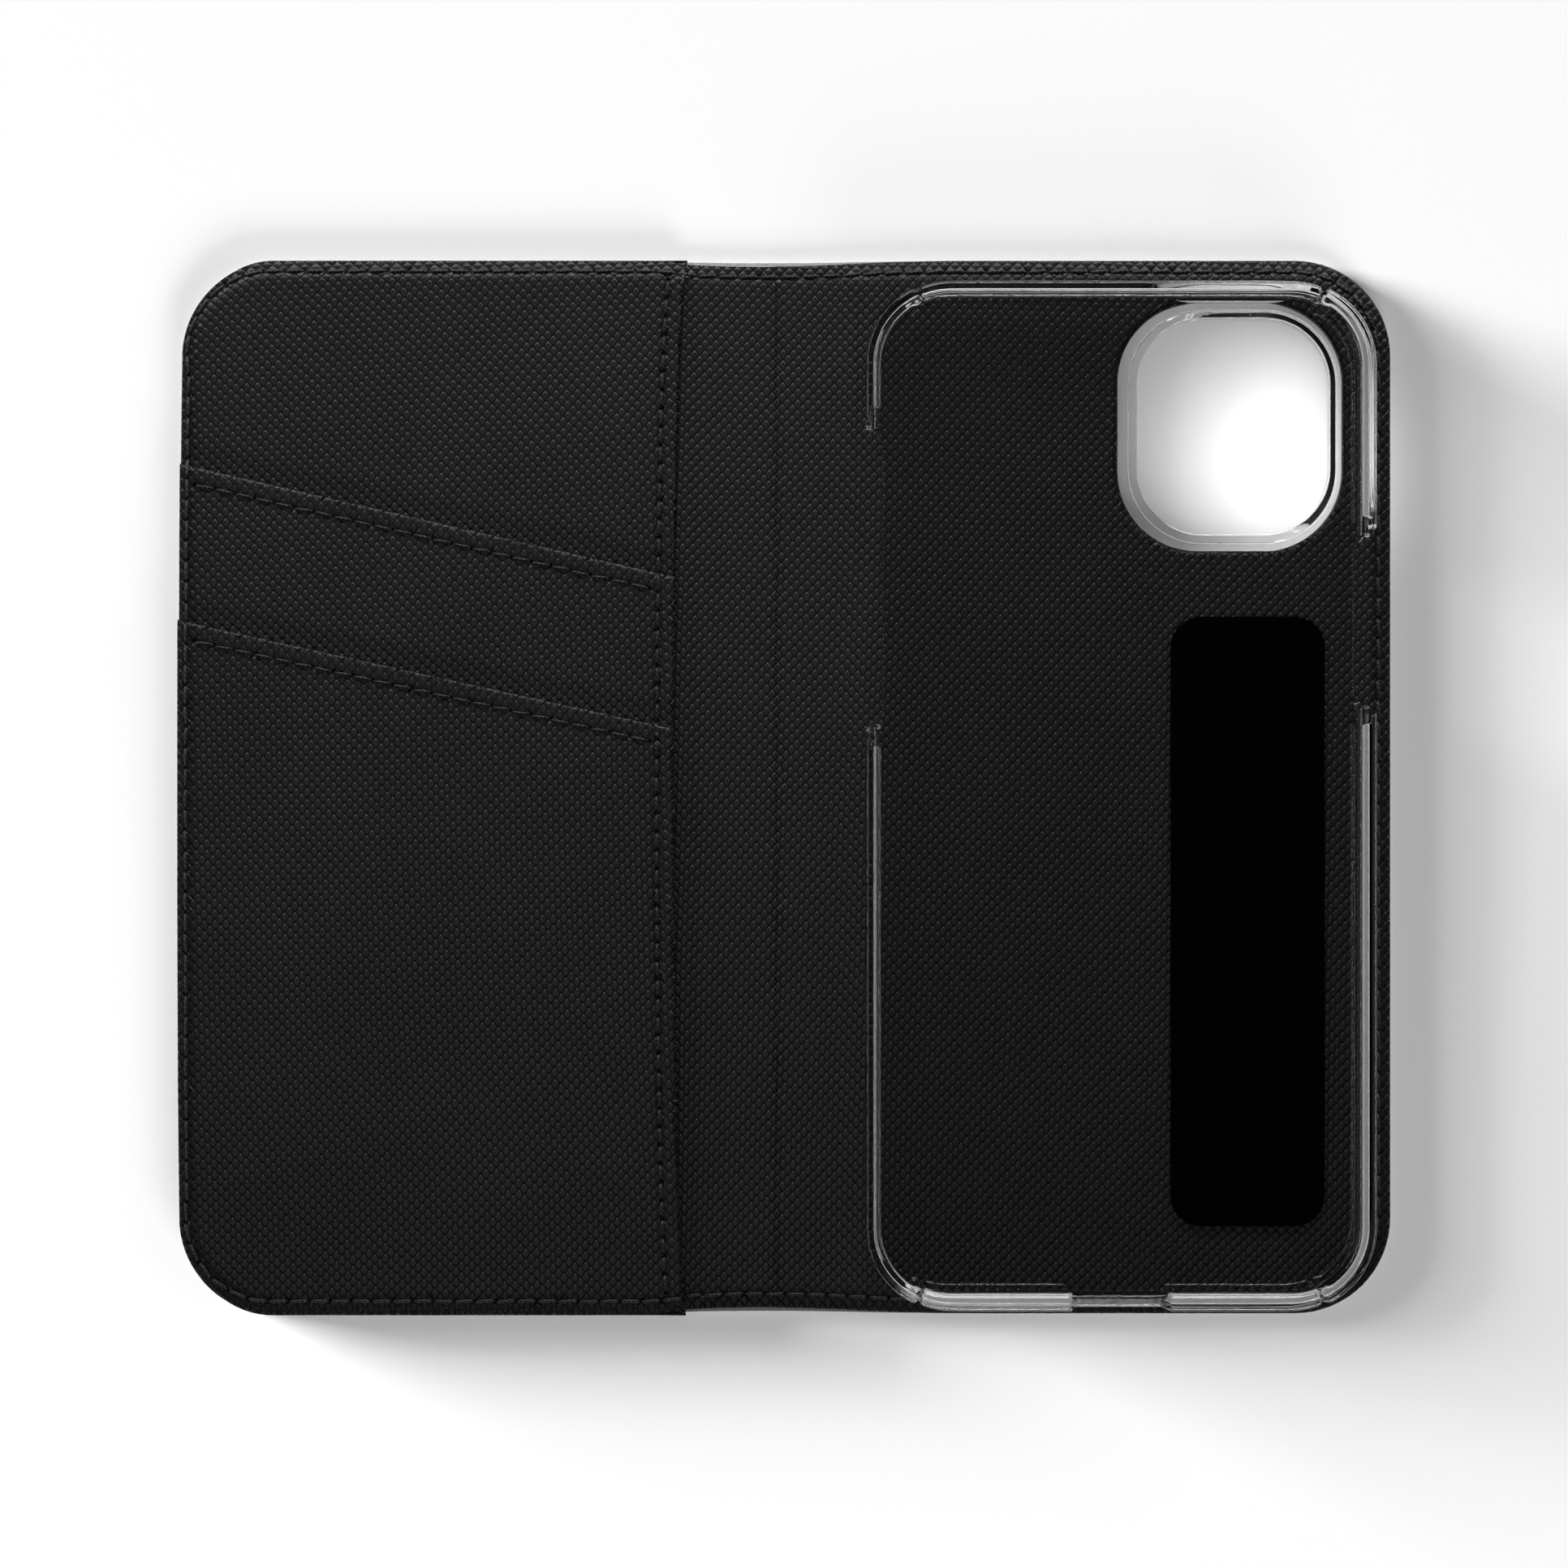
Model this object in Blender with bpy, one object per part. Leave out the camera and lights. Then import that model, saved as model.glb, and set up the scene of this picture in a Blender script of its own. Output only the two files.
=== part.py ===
# Folio wallet case for a 6.1 inch phone, lying open and flat.
#
# Frame: metres, +Z up, origin at the middle of the open case's footprint, on
# the surface it lies on.  +X runs across the spine towards the free edge of
# the back cover, +Y runs along the spine towards the camera end.
#
# Three stiff panels (front cover, spine, back cover) are joined by two soft
# creases.  Every panel is a sandwich: outer skin, board, lining.  The front
# cover carries two card pockets on a base panel whose edge nearest the spine
# is left open; the back cover carries a clear clip-in tray on an adhesive pad.

import math

import bpy
import bmesh

MM = 0.001

# ---------------------------------------------------------------- dimensions
CASE_L = 177.5            # open length across the spine (X)
CASE_H = 154.2            # height along the spine (Y)
CORNER_R = 14.0           # outer corner radius of both covers

AXIS_BACK_X = 8.8         # crease between spine and back cover
AXIS_FRONT_X = -11.2      # crease between front cover and spine
AXIS_Z = 0.8              # both creases bend at the top of the outer skin
SKIN_GAP = 0.9            # half of the soft strip left free in the outer skin
STIFF_GAP = 2.4           # half of the soft strip left free in board and lining
SPINE_DIP = 0.5           # the spine's ends are this much shorter than the covers
SPINE_BOW = 0.5           # and bow inwards this much more at their middle

# layer heights (bottom, top)
SKIN_Z = (0.0, 0.8)
BOARD_Z = (0.9, 2.1)
LINING_Z = (2.2, 2.9)
SPINE_BOARD_Z = (0.9, 1.7)
SPINE_LINING_Z = (1.8, 2.5)
CARD_BASE_Z = (3.2, 3.9)
CARD_UPPER_Z = (4.1, 4.8)
CARD_LOWER_Z = (5.0, 5.7)
PAD_Z = (3.0, 3.6)

BOARD_INSET = 3.3         # boards stop inside the stitch line
LINING_INSET = 0.15       # the skin shows as a fine line around the lining

# stitching
THREAD_R = 0.25
STITCH_TOP = 1.7
STITCH_SIDE_FRONT = 1.35
STITCH_SIDE_BACK = 1.9
STITCH_BOTTOM = 2.2
MOUTH_STITCH = 2.6        # slot stitch below its mouth
HEM_STITCH = 2.45         # hem stitch inside the pockets' open edge

# card pockets
POCKET_EDGE_MID = -16.15  # open edge at mid height; it bows towards the spine
POCKET_EDGE_BOW = 1.15
POCKET_EDGE_FLARE = 0.55
UPPER_MOUTH = (47.4, 30.8)   # Y of the upper mouth at the outer and inner edge
LOWER_MOUTH = (24.5, 8.6)

# phone tray
TRAY_C = (48.65, -1.28)
TRAY_L = 149.0
TRAY_W = 73.9
TRAY_R = 12.2
BAY_L = 146.9
BAY_W = 71.8
TRAY_BOTTOM = 3.7
TRAY_FLOOR = 4.9
BAY_TOP = 12.35           # a 7.4 mm phone lies under the lips
TRAY_RIM = 13.25
END_RIM = 12.85           # the two short rails are a little lower
LIP_SIDE = 2.2            # rim width over the long walls
LIP_END = 2.7
TRAY_FILLET = 2.2         # rounding under the walls
RELIEF_X = 29.5           # half length of the lower end rails
PLATE_EDGE = 2.5          # the button cut-outs stop at the flat plate
VOLUME_Y = (9.4, 53.7)    # left cut-out, from the tray's centre
POWER_Y = (12.6, 38.1)    # right cut-out
PORT_X = (-6.75, 6.75)    # charging notch, from the tray's centre
PORT_Z = 7.2

# camera opening
CAM_C = (65.5, 52.6)      # centre in the cover
CAM_TRAY = (28.0, 31.5, 9.5)
CAM_COVER = (33.6, 36.2, 11.6)
CAM_BOARD = (35.4, 38.0, 12.4)
CAM_RING = 1.2            # wall of the collar around the tray's opening
CAM_RING_Z = 1.2          # the collar reaches down into the cover

# adhesive pad under the tray: (x0, x1, y0, y1, corner radius)
PAD = (56.4, 78.9, -64.1, 24.9, 4.5)


# ------------------------------------------------------------------- helpers
for ob in list(bpy.data.objects):
    bpy.data.objects.remove(ob, do_unlink=True)

scene = bpy.context.scene
parts = bpy.data.collections.new("phone_wallet_case")
cutters = bpy.data.collections.new("cutters")
scene.collection.children.link(parts)
scene.collection.children.link(cutters)


def material(name, colour, roughness, metallic=0.0, alpha=1.0):
    mat = bpy.data.materials.new(name)
    mat.use_nodes = True
    shader = mat.node_tree.nodes["Principled BSDF"]
    shader.inputs["Base Color"].default_value = (*colour, 1.0)
    shader.inputs["Roughness"].default_value = roughness
    shader.inputs["Metallic"].default_value = metallic
    shader.inputs["Alpha"].default_value = alpha
    return mat


def arc(cx, cy, r, a0, a1, steps):
    """Points of an arc from angle a0 to a1 in degrees, both ends included."""
    out = []
    for i in range(steps + 1):
        a = math.radians(a0 + (a1 - a0) * i / steps)
        out.append((cx + r * math.cos(a), cy + r * math.sin(a)))
    return out


def rounded_rect(cx, cy, w, h, r, steps=8):
    """A rounded rectangle, counter-clockwise."""
    x0, x1, y0, y1 = cx - w / 2, cx + w / 2, cy - h / 2, cy + h / 2
    return (arc(x0 + r, y0 + r, r, 180, 270, steps) +
            arc(x1 - r, y0 + r, r, 270, 360, steps) +
            arc(x1 - r, y1 - r, r, 0, 90, steps) +
            arc(x0 + r, y1 - r, r, 90, 180, steps))


def cover_outline(side, inner_x, inset, steps=10):
    """A cover: square at the crease, which lies inner_x from the middle, and
    rounded at its two outer corners.  Side -1 mirrors it across the middle."""
    x_out = CASE_L / 2 - inset
    y = CASE_H / 2 - inset
    r = CORNER_R - inset
    pts = ([(inner_x, -y)] + arc(x_out - r, -y + r, r, 270, 360, steps) +
           arc(x_out - r, y - r, r, 0, 90, steps) + [(inner_x, y)])
    if side < 0:
        pts = [(-px, py) for px, py in reversed(pts)]
    return pts


def spine_outline(x0, x1, half, bow, steps=8):
    """A spine panel whose two ends bow gently inwards."""
    def end(t):
        return half - bow * (1.0 - (2.0 * t - 1.0) ** 2)
    low = [(x0 + (x1 - x0) * i / steps, -end(i / steps)) for i in range(steps + 1)]
    high = [(x1 - (x1 - x0) * i / steps, end(1 - i / steps)) for i in range(steps + 1)]
    return low + high


def pocket_edge(y):
    """X of the pockets' open edge: it bows away from the spine in the middle."""
    t = abs(y + 1.5) / 76.0
    return POCKET_EDGE_MID + POCKET_EDGE_BOW * t ** 2 + POCKET_EDGE_FLARE * t ** 10


def mouth_y(mouth, x):
    """Y of a slanted slot mouth at x."""
    x0, x1 = -CASE_L / 2, POCKET_EDGE_MID
    return mouth[0] + (mouth[1] - mouth[0]) * (x - x0) / (x1 - x0)


def pocket_panel_outline(mouth, inset, steps=10, edge_steps=16):
    """A pocket layer: down to the bottom edge, up to its mouth or the top."""
    x_out = -CASE_L / 2 + inset
    y = CASE_H / 2 - inset
    r = CORNER_R - inset
    pts = []
    if mouth is None:
        top = y
        pts += arc(x_out + r, y - r, r, 90, 180, steps)
    else:
        top = mouth_y(mouth, POCKET_EDGE_MID)
        pts.append((x_out, mouth_y(mouth, x_out)))
    pts += arc(x_out + r, -y + r, r, 180, 270, steps)
    for i in range(edge_steps + 1):
        yy = -y + (top + y) * i / edge_steps
        pts.append((pocket_edge(yy), yy))
    return pts


def flat_piece(name, outlines, z, mat, collection=None, bevel=0.0, bevel_res=2):
    """A plate: 2D curve, filled, extruded to half its thickness each way.
    With a bevel its edges are rounded inside the stated outline."""
    curve = bpy.data.curves.new(name, "CURVE")
    curve.dimensions = "2D"
    curve.fill_mode = "BOTH"
    for pts in outlines:
        spline = curve.splines.new("POLY")
        spline.points.add(len(pts) - 1)
        for point, (px, py) in zip(spline.points, pts):
            point.co = (px * MM, py * MM, 0.0, 1.0)
        spline.use_cyclic_u = True
    curve.extrude = ((z[1] - z[0]) / 2 - bevel) * MM
    if bevel:
        curve.bevel_depth = bevel * MM
        curve.bevel_resolution = bevel_res
    ob = bpy.data.objects.new(name, curve)
    ob.location = (0.0, 0.0, (z[0] + z[1]) / 2 * MM)
    (collection or parts).objects.link(ob)
    if mat:
        curve.materials.append(mat)
    return ob


def to_mesh(ob):
    """The curve's evaluated mesh as a new object of the same name."""
    bpy.context.view_layer.update()
    name, matrix = ob.name, ob.matrix_world.copy()
    holder = ob.users_collection[0]
    mesh = bpy.data.meshes.new_from_object(
        ob.evaluated_get(bpy.context.evaluated_depsgraph_get()))
    bm = bmesh.new()
    bm.from_mesh(mesh)
    bmesh.ops.remove_doubles(bm, verts=bm.verts, dist=0.000002)
    bmesh.ops.recalc_face_normals(bm, faces=bm.faces)
    bm.to_mesh(mesh)
    bm.free()
    bpy.data.objects.remove(ob, do_unlink=True)
    new = bpy.data.objects.new(name, mesh)
    new.matrix_world = matrix
    holder.objects.link(new)
    new.name = name
    return new


def cutter_plate(name, outline, z):
    ob = to_mesh(flat_piece(name, [outline], z, None, cutters))
    ob.hide_render = True
    ob.display_type = "WIRE"
    return ob


def cutter_box(name, x, y, z):
    """An axis-aligned box cutter from its low and high limits."""
    bpy.ops.mesh.primitive_cube_add(size=1.0)
    ob = bpy.context.active_object
    ob.name = name
    for holder in list(ob.users_collection):
        holder.objects.unlink(ob)
    cutters.objects.link(ob)
    ob.location = ((x[0] + x[1]) / 2 * MM, (y[0] + y[1]) / 2 * MM, (z[0] + z[1]) / 2 * MM)
    ob.scale = ((x[1] - x[0]) * MM, (y[1] - y[0]) * MM, (z[1] - z[0]) * MM)
    bpy.context.view_layer.update()
    ob.hide_render = True
    ob.display_type = "WIRE"
    return ob


def boolean(ob, cutter, operation="DIFFERENCE"):
    mod = ob.modifiers.new(cutter.name, "BOOLEAN")
    mod.operation = operation
    mod.solver = "EXACT"
    mod.object = cutter
    return mod


def thread(name, points, mat):
    """A run of stitching: a fine tube on a polyline."""
    curve = bpy.data.curves.new(name, "CURVE")
    curve.dimensions = "3D"
    curve.bevel_depth = THREAD_R * MM
    curve.bevel_resolution = 2
    curve.use_fill_caps = True
    spline = curve.splines.new("POLY")
    spline.points.add(len(points) - 1)
    for point, (px, py, pz) in zip(spline.points, points):
        point.co = (px * MM, py * MM, pz * MM, 1.0)
    ob = bpy.data.objects.new(name, curve)
    parts.objects.link(ob)
    curve.materials.append(mat)
    return ob


def body_empty(name, location, parent=None):
    """A panel's pivot.  Its pieces are parented to it with world positions kept."""
    ob = bpy.data.objects.new(name, None)
    ob.empty_display_size = 0.01
    parts.objects.link(ob)
    if parent:
        ob.parent = parent
        ob.location = [a - b for a, b in zip(location, parent["pivot"])]
    else:
        ob.location = location
    ob["pivot"] = location
    return ob


def hang(ob, empty):
    pivot = empty["pivot"]
    ob.location = [a - b for a, b in zip(ob.location, pivot)]
    ob.parent = empty


# ----------------------------------------------------------------- materials
black_leather = material("black_embossed_leather", (0.012, 0.012, 0.013), 0.52)
white_skin = material("white_outer_skin", (0.78, 0.77, 0.75), 0.5)
grey_board = material("grey_board", (0.32, 0.31, 0.29), 0.9)
clear_plastic = material("clear_polycarbonate", (0.92, 0.94, 0.95), 0.08, alpha=0.25)
black_foam = material("black_adhesive_foam", (0.004, 0.004, 0.004), 0.9)
black_thread = material("black_thread", (0.008, 0.008, 0.009), 0.55)


# ------------------------------------------------------------ camera openings
def camera_hole(size):
    return rounded_rect(CAM_C[0], CAM_C[1], size[0], size[1], size[2], 8)


# -------------------------------------------------------------- back cover
back_pieces = []
back_pieces.append(flat_piece(
    "outer_skin_back",
    [cover_outline(1, AXIS_BACK_X + SKIN_GAP, 0.0), camera_hole(CAM_COVER)],
    SKIN_Z, white_skin))
back_pieces.append(flat_piece(
    "back_board",
    [cover_outline(1, AXIS_BACK_X + STIFF_GAP, BOARD_INSET), camera_hole(CAM_BOARD)],
    BOARD_Z, grey_board))
back_pieces.append(flat_piece(
    "lining_back",
    [cover_outline(1, AXIS_BACK_X + STIFF_GAP, LINING_INSET), camera_hole(CAM_COVER)],
    LINING_Z, black_leather))
back_pieces.append(flat_piece(
    "shell_adhesive_pad",
    [rounded_rect((PAD[0] + PAD[1]) / 2, (PAD[2] + PAD[3]) / 2,
                  PAD[1] - PAD[0], PAD[3] - PAD[2], PAD[4], 6)],
    PAD_Z, black_foam))

# clear tray: a rounded block, hollowed, with its openings cut
tray = to_mesh(flat_piece(
    "phone_shell",
    [rounded_rect(TRAY_C[0], TRAY_C[1], TRAY_W - 2 * TRAY_FILLET,
                  TRAY_L - 2 * TRAY_FILLET, TRAY_R - TRAY_FILLET, 8)],
    (TRAY_BOTTOM, TRAY_RIM + 6.0), clear_plastic, bevel=TRAY_FILLET, bevel_res=1))
cam_x = CAM_C[0]
cam_y = CAM_C[1]
collar = cutter_plate("collar_block", rounded_rect(
    cam_x, cam_y, CAM_TRAY[0] + 2 * CAM_RING, CAM_TRAY[1] + 2 * CAM_RING,
    CAM_TRAY[2] + CAM_RING, 8), (CAM_RING_Z, TRAY_BOTTOM + 0.6))
boolean(tray, collar, "UNION")
boolean(tray, cutter_plate("bay_cut", rounded_rect(
    TRAY_C[0], TRAY_C[1], BAY_W, BAY_L, TRAY_R - 1.1, 8), (TRAY_FLOOR, BAY_TOP)))
boolean(tray, cutter_plate("lip_cut", rounded_rect(
    TRAY_C[0], TRAY_C[1], TRAY_W - 2 * LIP_SIDE, TRAY_L - 2 * LIP_END,
    TRAY_R - 2.4, 8), (BAY_TOP - 0.5, TRAY_RIM + 8.0)))
boolean(tray, cutter_box("rim_cut", (TRAY_C[0] - 60, TRAY_C[0] + 60),
                         (TRAY_C[1] - 90, TRAY_C[1] + 90), (TRAY_RIM, TRAY_RIM + 9.0)))
boolean(tray, cutter_box("end_rim_cut", (TRAY_C[0] - RELIEF_X, TRAY_C[0] + RELIEF_X),
                         (TRAY_C[1] - 90, TRAY_C[1] + 90), (END_RIM, TRAY_RIM + 8.5)))
wall = TRAY_W / 2
boolean(tray, cutter_plate("volume_cut", rounded_rect(
    TRAY_C[0] - wall - 3.0 + PLATE_EDGE / 2, TRAY_C[1] + sum(VOLUME_Y) / 2,
    6.0 + PLATE_EDGE, VOLUME_Y[1] - VOLUME_Y[0], 1.2, 4), (1.0, TRAY_RIM + 8.2)))
boolean(tray, cutter_plate("power_cut", rounded_rect(
    TRAY_C[0] + wall + 3.0 - PLATE_EDGE / 2, TRAY_C[1] + sum(POWER_Y) / 2,
    6.0 + PLATE_EDGE, POWER_Y[1] - POWER_Y[0], 1.2, 4), (1.1, TRAY_RIM + 8.4)))
boolean(tray, cutter_box("port_cut", (TRAY_C[0] + PORT_X[0], TRAY_C[0] + PORT_X[1]),
                         (TRAY_C[1] - TRAY_L / 2 - 4.0, TRAY_C[1] - TRAY_L / 2 + 4.5),
                         (PORT_Z, TRAY_RIM + 8.6)))
boolean(tray, cutter_plate("camera_cut", rounded_rect(
    cam_x, cam_y, CAM_TRAY[0], CAM_TRAY[1], CAM_TRAY[2], 8),
    (CAM_RING_Z - 1.0, TRAY_FLOOR + 3.0)))
back_pieces.append(tray)

# perimeter stitching of the back cover, on top of the lining
z_back = LINING_Z[1] + THREAD_R + 0.12
sx = CASE_L / 2 - STITCH_SIDE_BACK
sy_top = CASE_H / 2 - STITCH_TOP
sy_low = -CASE_H / 2 + STITCH_BOTTOM
sr = CORNER_R - 2.0
inner = AXIS_BACK_X + STIFF_GAP + 0.3
run = [(inner, sy_top), (inner + 25, sy_top)]
run += arc(sx - sr, sy_top - sr, sr, 90, 0, 8)
run += [(sx, 20.0), (sx, -20.0)]
run += arc(sx - sr, sy_low + sr, sr, 0, -90, 8)
run += [(inner + 25, sy_low), (inner, sy_low)]
back_pieces.append(thread("thread_perimeter_back",
                          [(x, y, z_back) for x, y in run], black_thread))

# ------------------------------------------------------------------- spine
spine_pieces = []
spine_pieces.append(flat_piece(
    "outer_skin_spine",
    [spine_outline(AXIS_FRONT_X + SKIN_GAP, AXIS_BACK_X - SKIN_GAP,
                   CASE_H / 2 - SPINE_DIP * 0.4, SPINE_BOW * 0.8)],
    SKIN_Z, white_skin))
spine_pieces.append(flat_piece(
    "spine_board",
    [spine_outline(AXIS_FRONT_X + STIFF_GAP, AXIS_BACK_X - STIFF_GAP,
                   CASE_H / 2 - BOARD_INSET - SPINE_DIP, 0.0, 2)],
    SPINE_BOARD_Z, grey_board))
spine_pieces.append(flat_piece(
    "lining_spine",
    [spine_outline(AXIS_FRONT_X + STIFF_GAP, AXIS_BACK_X - STIFF_GAP,
                   CASE_H / 2 - LINING_INSET - SPINE_DIP, SPINE_BOW)],
    SPINE_LINING_Z, black_leather))
z_spine = SPINE_LINING_Z[1] + THREAD_R + 0.12
for label, sign, inset in (("top", 1, STITCH_TOP), ("bottom", -1, STITCH_BOTTOM)):
    x0, x1 = AXIS_FRONT_X + STIFF_GAP + 0.3, AXIS_BACK_X - STIFF_GAP - 0.3
    pts = []
    for i in range(7):
        t = i / 6
        y = CASE_H / 2 - inset - SPINE_DIP - SPINE_BOW * (1 - (2 * t - 1) ** 2)
        pts.append((x0 + (x1 - x0) * t, sign * y, z_spine))
    spine_pieces.append(thread("thread_perimeter_spine_" + label, pts, black_thread))

# ------------------------------------------------------------- front cover
front_pieces = []
front_pieces.append(flat_piece(
    "outer_skin_front", [cover_outline(-1, -AXIS_FRONT_X + SKIN_GAP, 0.0)],
    SKIN_Z, white_skin))
front_pieces.append(flat_piece(
    "front_board", [cover_outline(-1, -AXIS_FRONT_X + STIFF_GAP, BOARD_INSET)],
    BOARD_Z, grey_board))
front_pieces.append(flat_piece(
    "lining_front", [cover_outline(-1, -AXIS_FRONT_X + STIFF_GAP, LINING_INSET)],
    LINING_Z, black_leather))
front_pieces.append(flat_piece(
    "card_base_panel", [pocket_panel_outline(None, 0.2)], CARD_BASE_Z, black_leather))
front_pieces.append(flat_piece(
    "card_panel_upper", [pocket_panel_outline(UPPER_MOUTH, 0.15)], CARD_UPPER_Z, black_leather))
front_pieces.append(flat_piece(
    "card_panel_lower", [pocket_panel_outline(LOWER_MOUTH, 0.1)], CARD_LOWER_Z, black_leather))

lift = THREAD_R + 0.12


def stack_top(x, y):
    """Height of the topmost pocket layer at a point of the front cover."""
    if x > pocket_edge(y):
        return LINING_Z[1]
    if y > mouth_y(UPPER_MOUTH, x) + 0.4:
        return CARD_BASE_Z[1]
    if y > mouth_y(LOWER_MOUTH, x) + 0.4:
        return CARD_UPPER_Z[1]
    return CARD_LOWER_Z[1]


# perimeter stitching: along the top, down the free side, along the bottom
fx = -CASE_L / 2 + STITCH_SIDE_FRONT
fr = CORNER_R - 1.7
start = AXIS_FRONT_X - STIFF_GAP - 0.3
top_x = pocket_edge(sy_top)
low_x = pocket_edge(sy_low)
pts = [(start, sy_top, LINING_Z[1] + lift), (top_x + 0.7, sy_top, LINING_Z[1] + lift),
       (top_x + 0.1, sy_top, CARD_BASE_Z[1] + lift)]
pts += [(x, y, CARD_BASE_Z[1] + lift) for x, y in arc(fx + fr, sy_top - fr, fr, 90, 180, 8)]
for mouth, low, high in ((UPPER_MOUTH, CARD_BASE_Z, CARD_UPPER_Z),
                         (LOWER_MOUTH, CARD_UPPER_Z, CARD_LOWER_Z)):
    y = mouth_y(mouth, fx)
    pts += [(fx, y + 1.6, low[1] + lift), (fx, y + 0.6, high[1] + lift)]
pts += [(x, y, CARD_LOWER_Z[1] + lift) for x, y in arc(fx + fr, sy_low + fr, fr, 180, 270, 8)]
pts += [(low_x + 0.1, sy_low, CARD_LOWER_Z[1] + lift)]
front_pieces.append(thread("thread_perimeter_front", pts, black_thread))

# stitching below each slot mouth, between the free side and the hem
for label, mouth, z in (("upper", UPPER_MOUTH, CARD_UPPER_Z[1]),
                        ("lower", LOWER_MOUTH, CARD_LOWER_Z[1])):
    x0, x1 = fx + 1.2, POCKET_EDGE_MID - HEM_STITCH - 1.2
    pts = []
    for i in range(5):
        x = x0 + (x1 - x0) * i / 4
        pts.append((x, mouth_y(mouth, x) - MOUTH_STITCH, z + lift))
    front_pieces.append(thread("thread_slot_" + label, pts, black_thread))

# hem stitching along the pockets' open edge
pts = []
y_from, y_to = sy_top - 1.4, sy_low + 1.4
levels = []
for mouth in (UPPER_MOUTH, LOWER_MOUTH):
    levels.append(mouth_y(mouth, POCKET_EDGE_MID - HEM_STITCH))
ys = [y_from, y_from - 14, y_from - 30]
ys += [levels[0] + 1.6, levels[0] + 0.6, levels[0] - 6.0, levels[1] + 1.6, levels[1] + 0.6]
ys += [levels[1] - (levels[1] - y_to) * i / 7 for i in range(1, 8)]
for y in ys:
    x = pocket_edge(y) - HEM_STITCH
    if y > levels[0] + 1.0:
        z = CARD_BASE_Z[1]
    elif y > levels[1] + 1.0:
        z = CARD_UPPER_Z[1]
    else:
        z = CARD_LOWER_Z[1]
    pts.append((x, y, z + lift))
front_pieces.append(thread("thread_pocket_hem", pts, black_thread))

# ------------------------------------------------- pivots of the three panels
back = body_empty("back_cover", (0.0, 0.0, 0.0))
spine = body_empty("spine", (AXIS_BACK_X * MM, 0.0, AXIS_Z * MM), back)
front = body_empty("front_cover", (AXIS_FRONT_X * MM, 0.0, AXIS_Z * MM), spine)
for group, empty in ((back_pieces, back), (spine_pieces, spine), (front_pieces, front)):
    for ob in group:
        hang(ob, empty)
bpy.context.view_layer.update()
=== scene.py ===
# Looks of the folio wallet case: leather, stitching, clear tray, light, camera.
# All lengths below are millimetres in the frame's own axes, made metres as a
# mesh is written.

import math

import bpy
import bmesh
import numpy as np
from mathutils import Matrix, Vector
from mathutils.geometry import delaunay_2d_cdt


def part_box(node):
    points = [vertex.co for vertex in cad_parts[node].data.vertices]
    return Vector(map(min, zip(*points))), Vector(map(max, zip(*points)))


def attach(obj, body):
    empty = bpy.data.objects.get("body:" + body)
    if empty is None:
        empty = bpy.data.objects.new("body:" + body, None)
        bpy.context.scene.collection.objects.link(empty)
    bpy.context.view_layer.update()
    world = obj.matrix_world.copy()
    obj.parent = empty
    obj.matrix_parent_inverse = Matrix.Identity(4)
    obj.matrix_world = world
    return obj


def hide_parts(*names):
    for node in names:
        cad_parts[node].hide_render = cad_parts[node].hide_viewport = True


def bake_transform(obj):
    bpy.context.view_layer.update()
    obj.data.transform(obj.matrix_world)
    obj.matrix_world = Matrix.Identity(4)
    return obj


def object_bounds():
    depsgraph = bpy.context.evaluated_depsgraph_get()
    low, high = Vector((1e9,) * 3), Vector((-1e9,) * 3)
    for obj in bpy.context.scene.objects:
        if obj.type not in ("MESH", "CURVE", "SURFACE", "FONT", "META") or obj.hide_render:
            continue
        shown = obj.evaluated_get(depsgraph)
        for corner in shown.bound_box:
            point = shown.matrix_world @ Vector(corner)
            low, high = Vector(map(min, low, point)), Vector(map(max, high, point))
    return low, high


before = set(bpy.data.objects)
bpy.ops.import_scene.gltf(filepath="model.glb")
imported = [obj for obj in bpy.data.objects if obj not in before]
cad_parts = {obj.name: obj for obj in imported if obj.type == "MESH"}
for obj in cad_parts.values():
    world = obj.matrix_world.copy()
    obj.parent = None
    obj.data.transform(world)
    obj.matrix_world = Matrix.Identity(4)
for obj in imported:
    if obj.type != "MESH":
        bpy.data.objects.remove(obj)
MM = 0.001


def plain(bounds):
    return [[float(v) for v in corner] for corner in bounds]


cad_box = plain(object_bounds())
rng = np.random.default_rng(71)


def node_box(name):
    lo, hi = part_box(name)
    return np.array(lo) / MM, np.array(hi) / MM


# ------------------------------------------------------- sizes from the frame
LO, HI = np.array(cad_box[0]) / MM, np.array(cad_box[1]) / MM
HX, HY = (HI[0] - LO[0]) / 2, (HI[1] - LO[1]) / 2       # half length, half height
_sl, _sh = node_box("lining_spine")
STIFF_GAP = 2.4
X1 = _sl[0] - STIFF_GAP                                  # crease front / spine
X2 = _sh[0] + STIFF_GAP                                  # crease spine / back
XM = (X1 + X2) / 2                                       # the blended halves meet here
TL, TH = node_box("phone_shell")
TC = ((TL[0] + TH[0]) / 2, (TL[1] + TH[1]) / 2)
TW, TLEN = TH[0] - TL[0], TH[1] - TL[1]
CORNER_R = 14.0
CAM_C = (65.5, 52.6)
CAM_TRAY = (28.0, 31.5, 9.5)
CAM_COVER = (33.6, 36.2, 11.6)

UPPER_MOUTH = (47.4, 30.8)
LOWER_MOUTH = (24.5, 8.6)
EDGE_MID, EDGE_BOW, EDGE_FLARE = -16.15, 1.15, 0.55
SEAM_TOP, SEAM_LEFT, SEAM_RIGHT, SEAM_LOW = 1.7, 1.45, 1.9, 2.2
MOUTH_SEAM, HEM_SEAM = 2.6, 2.45
EMBOSS = 0.130                                           # depth of the pressed grid
PITCH = 1.11
DOME = 0.75                                               # swelling of the pads, share of EMBOSS


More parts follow.
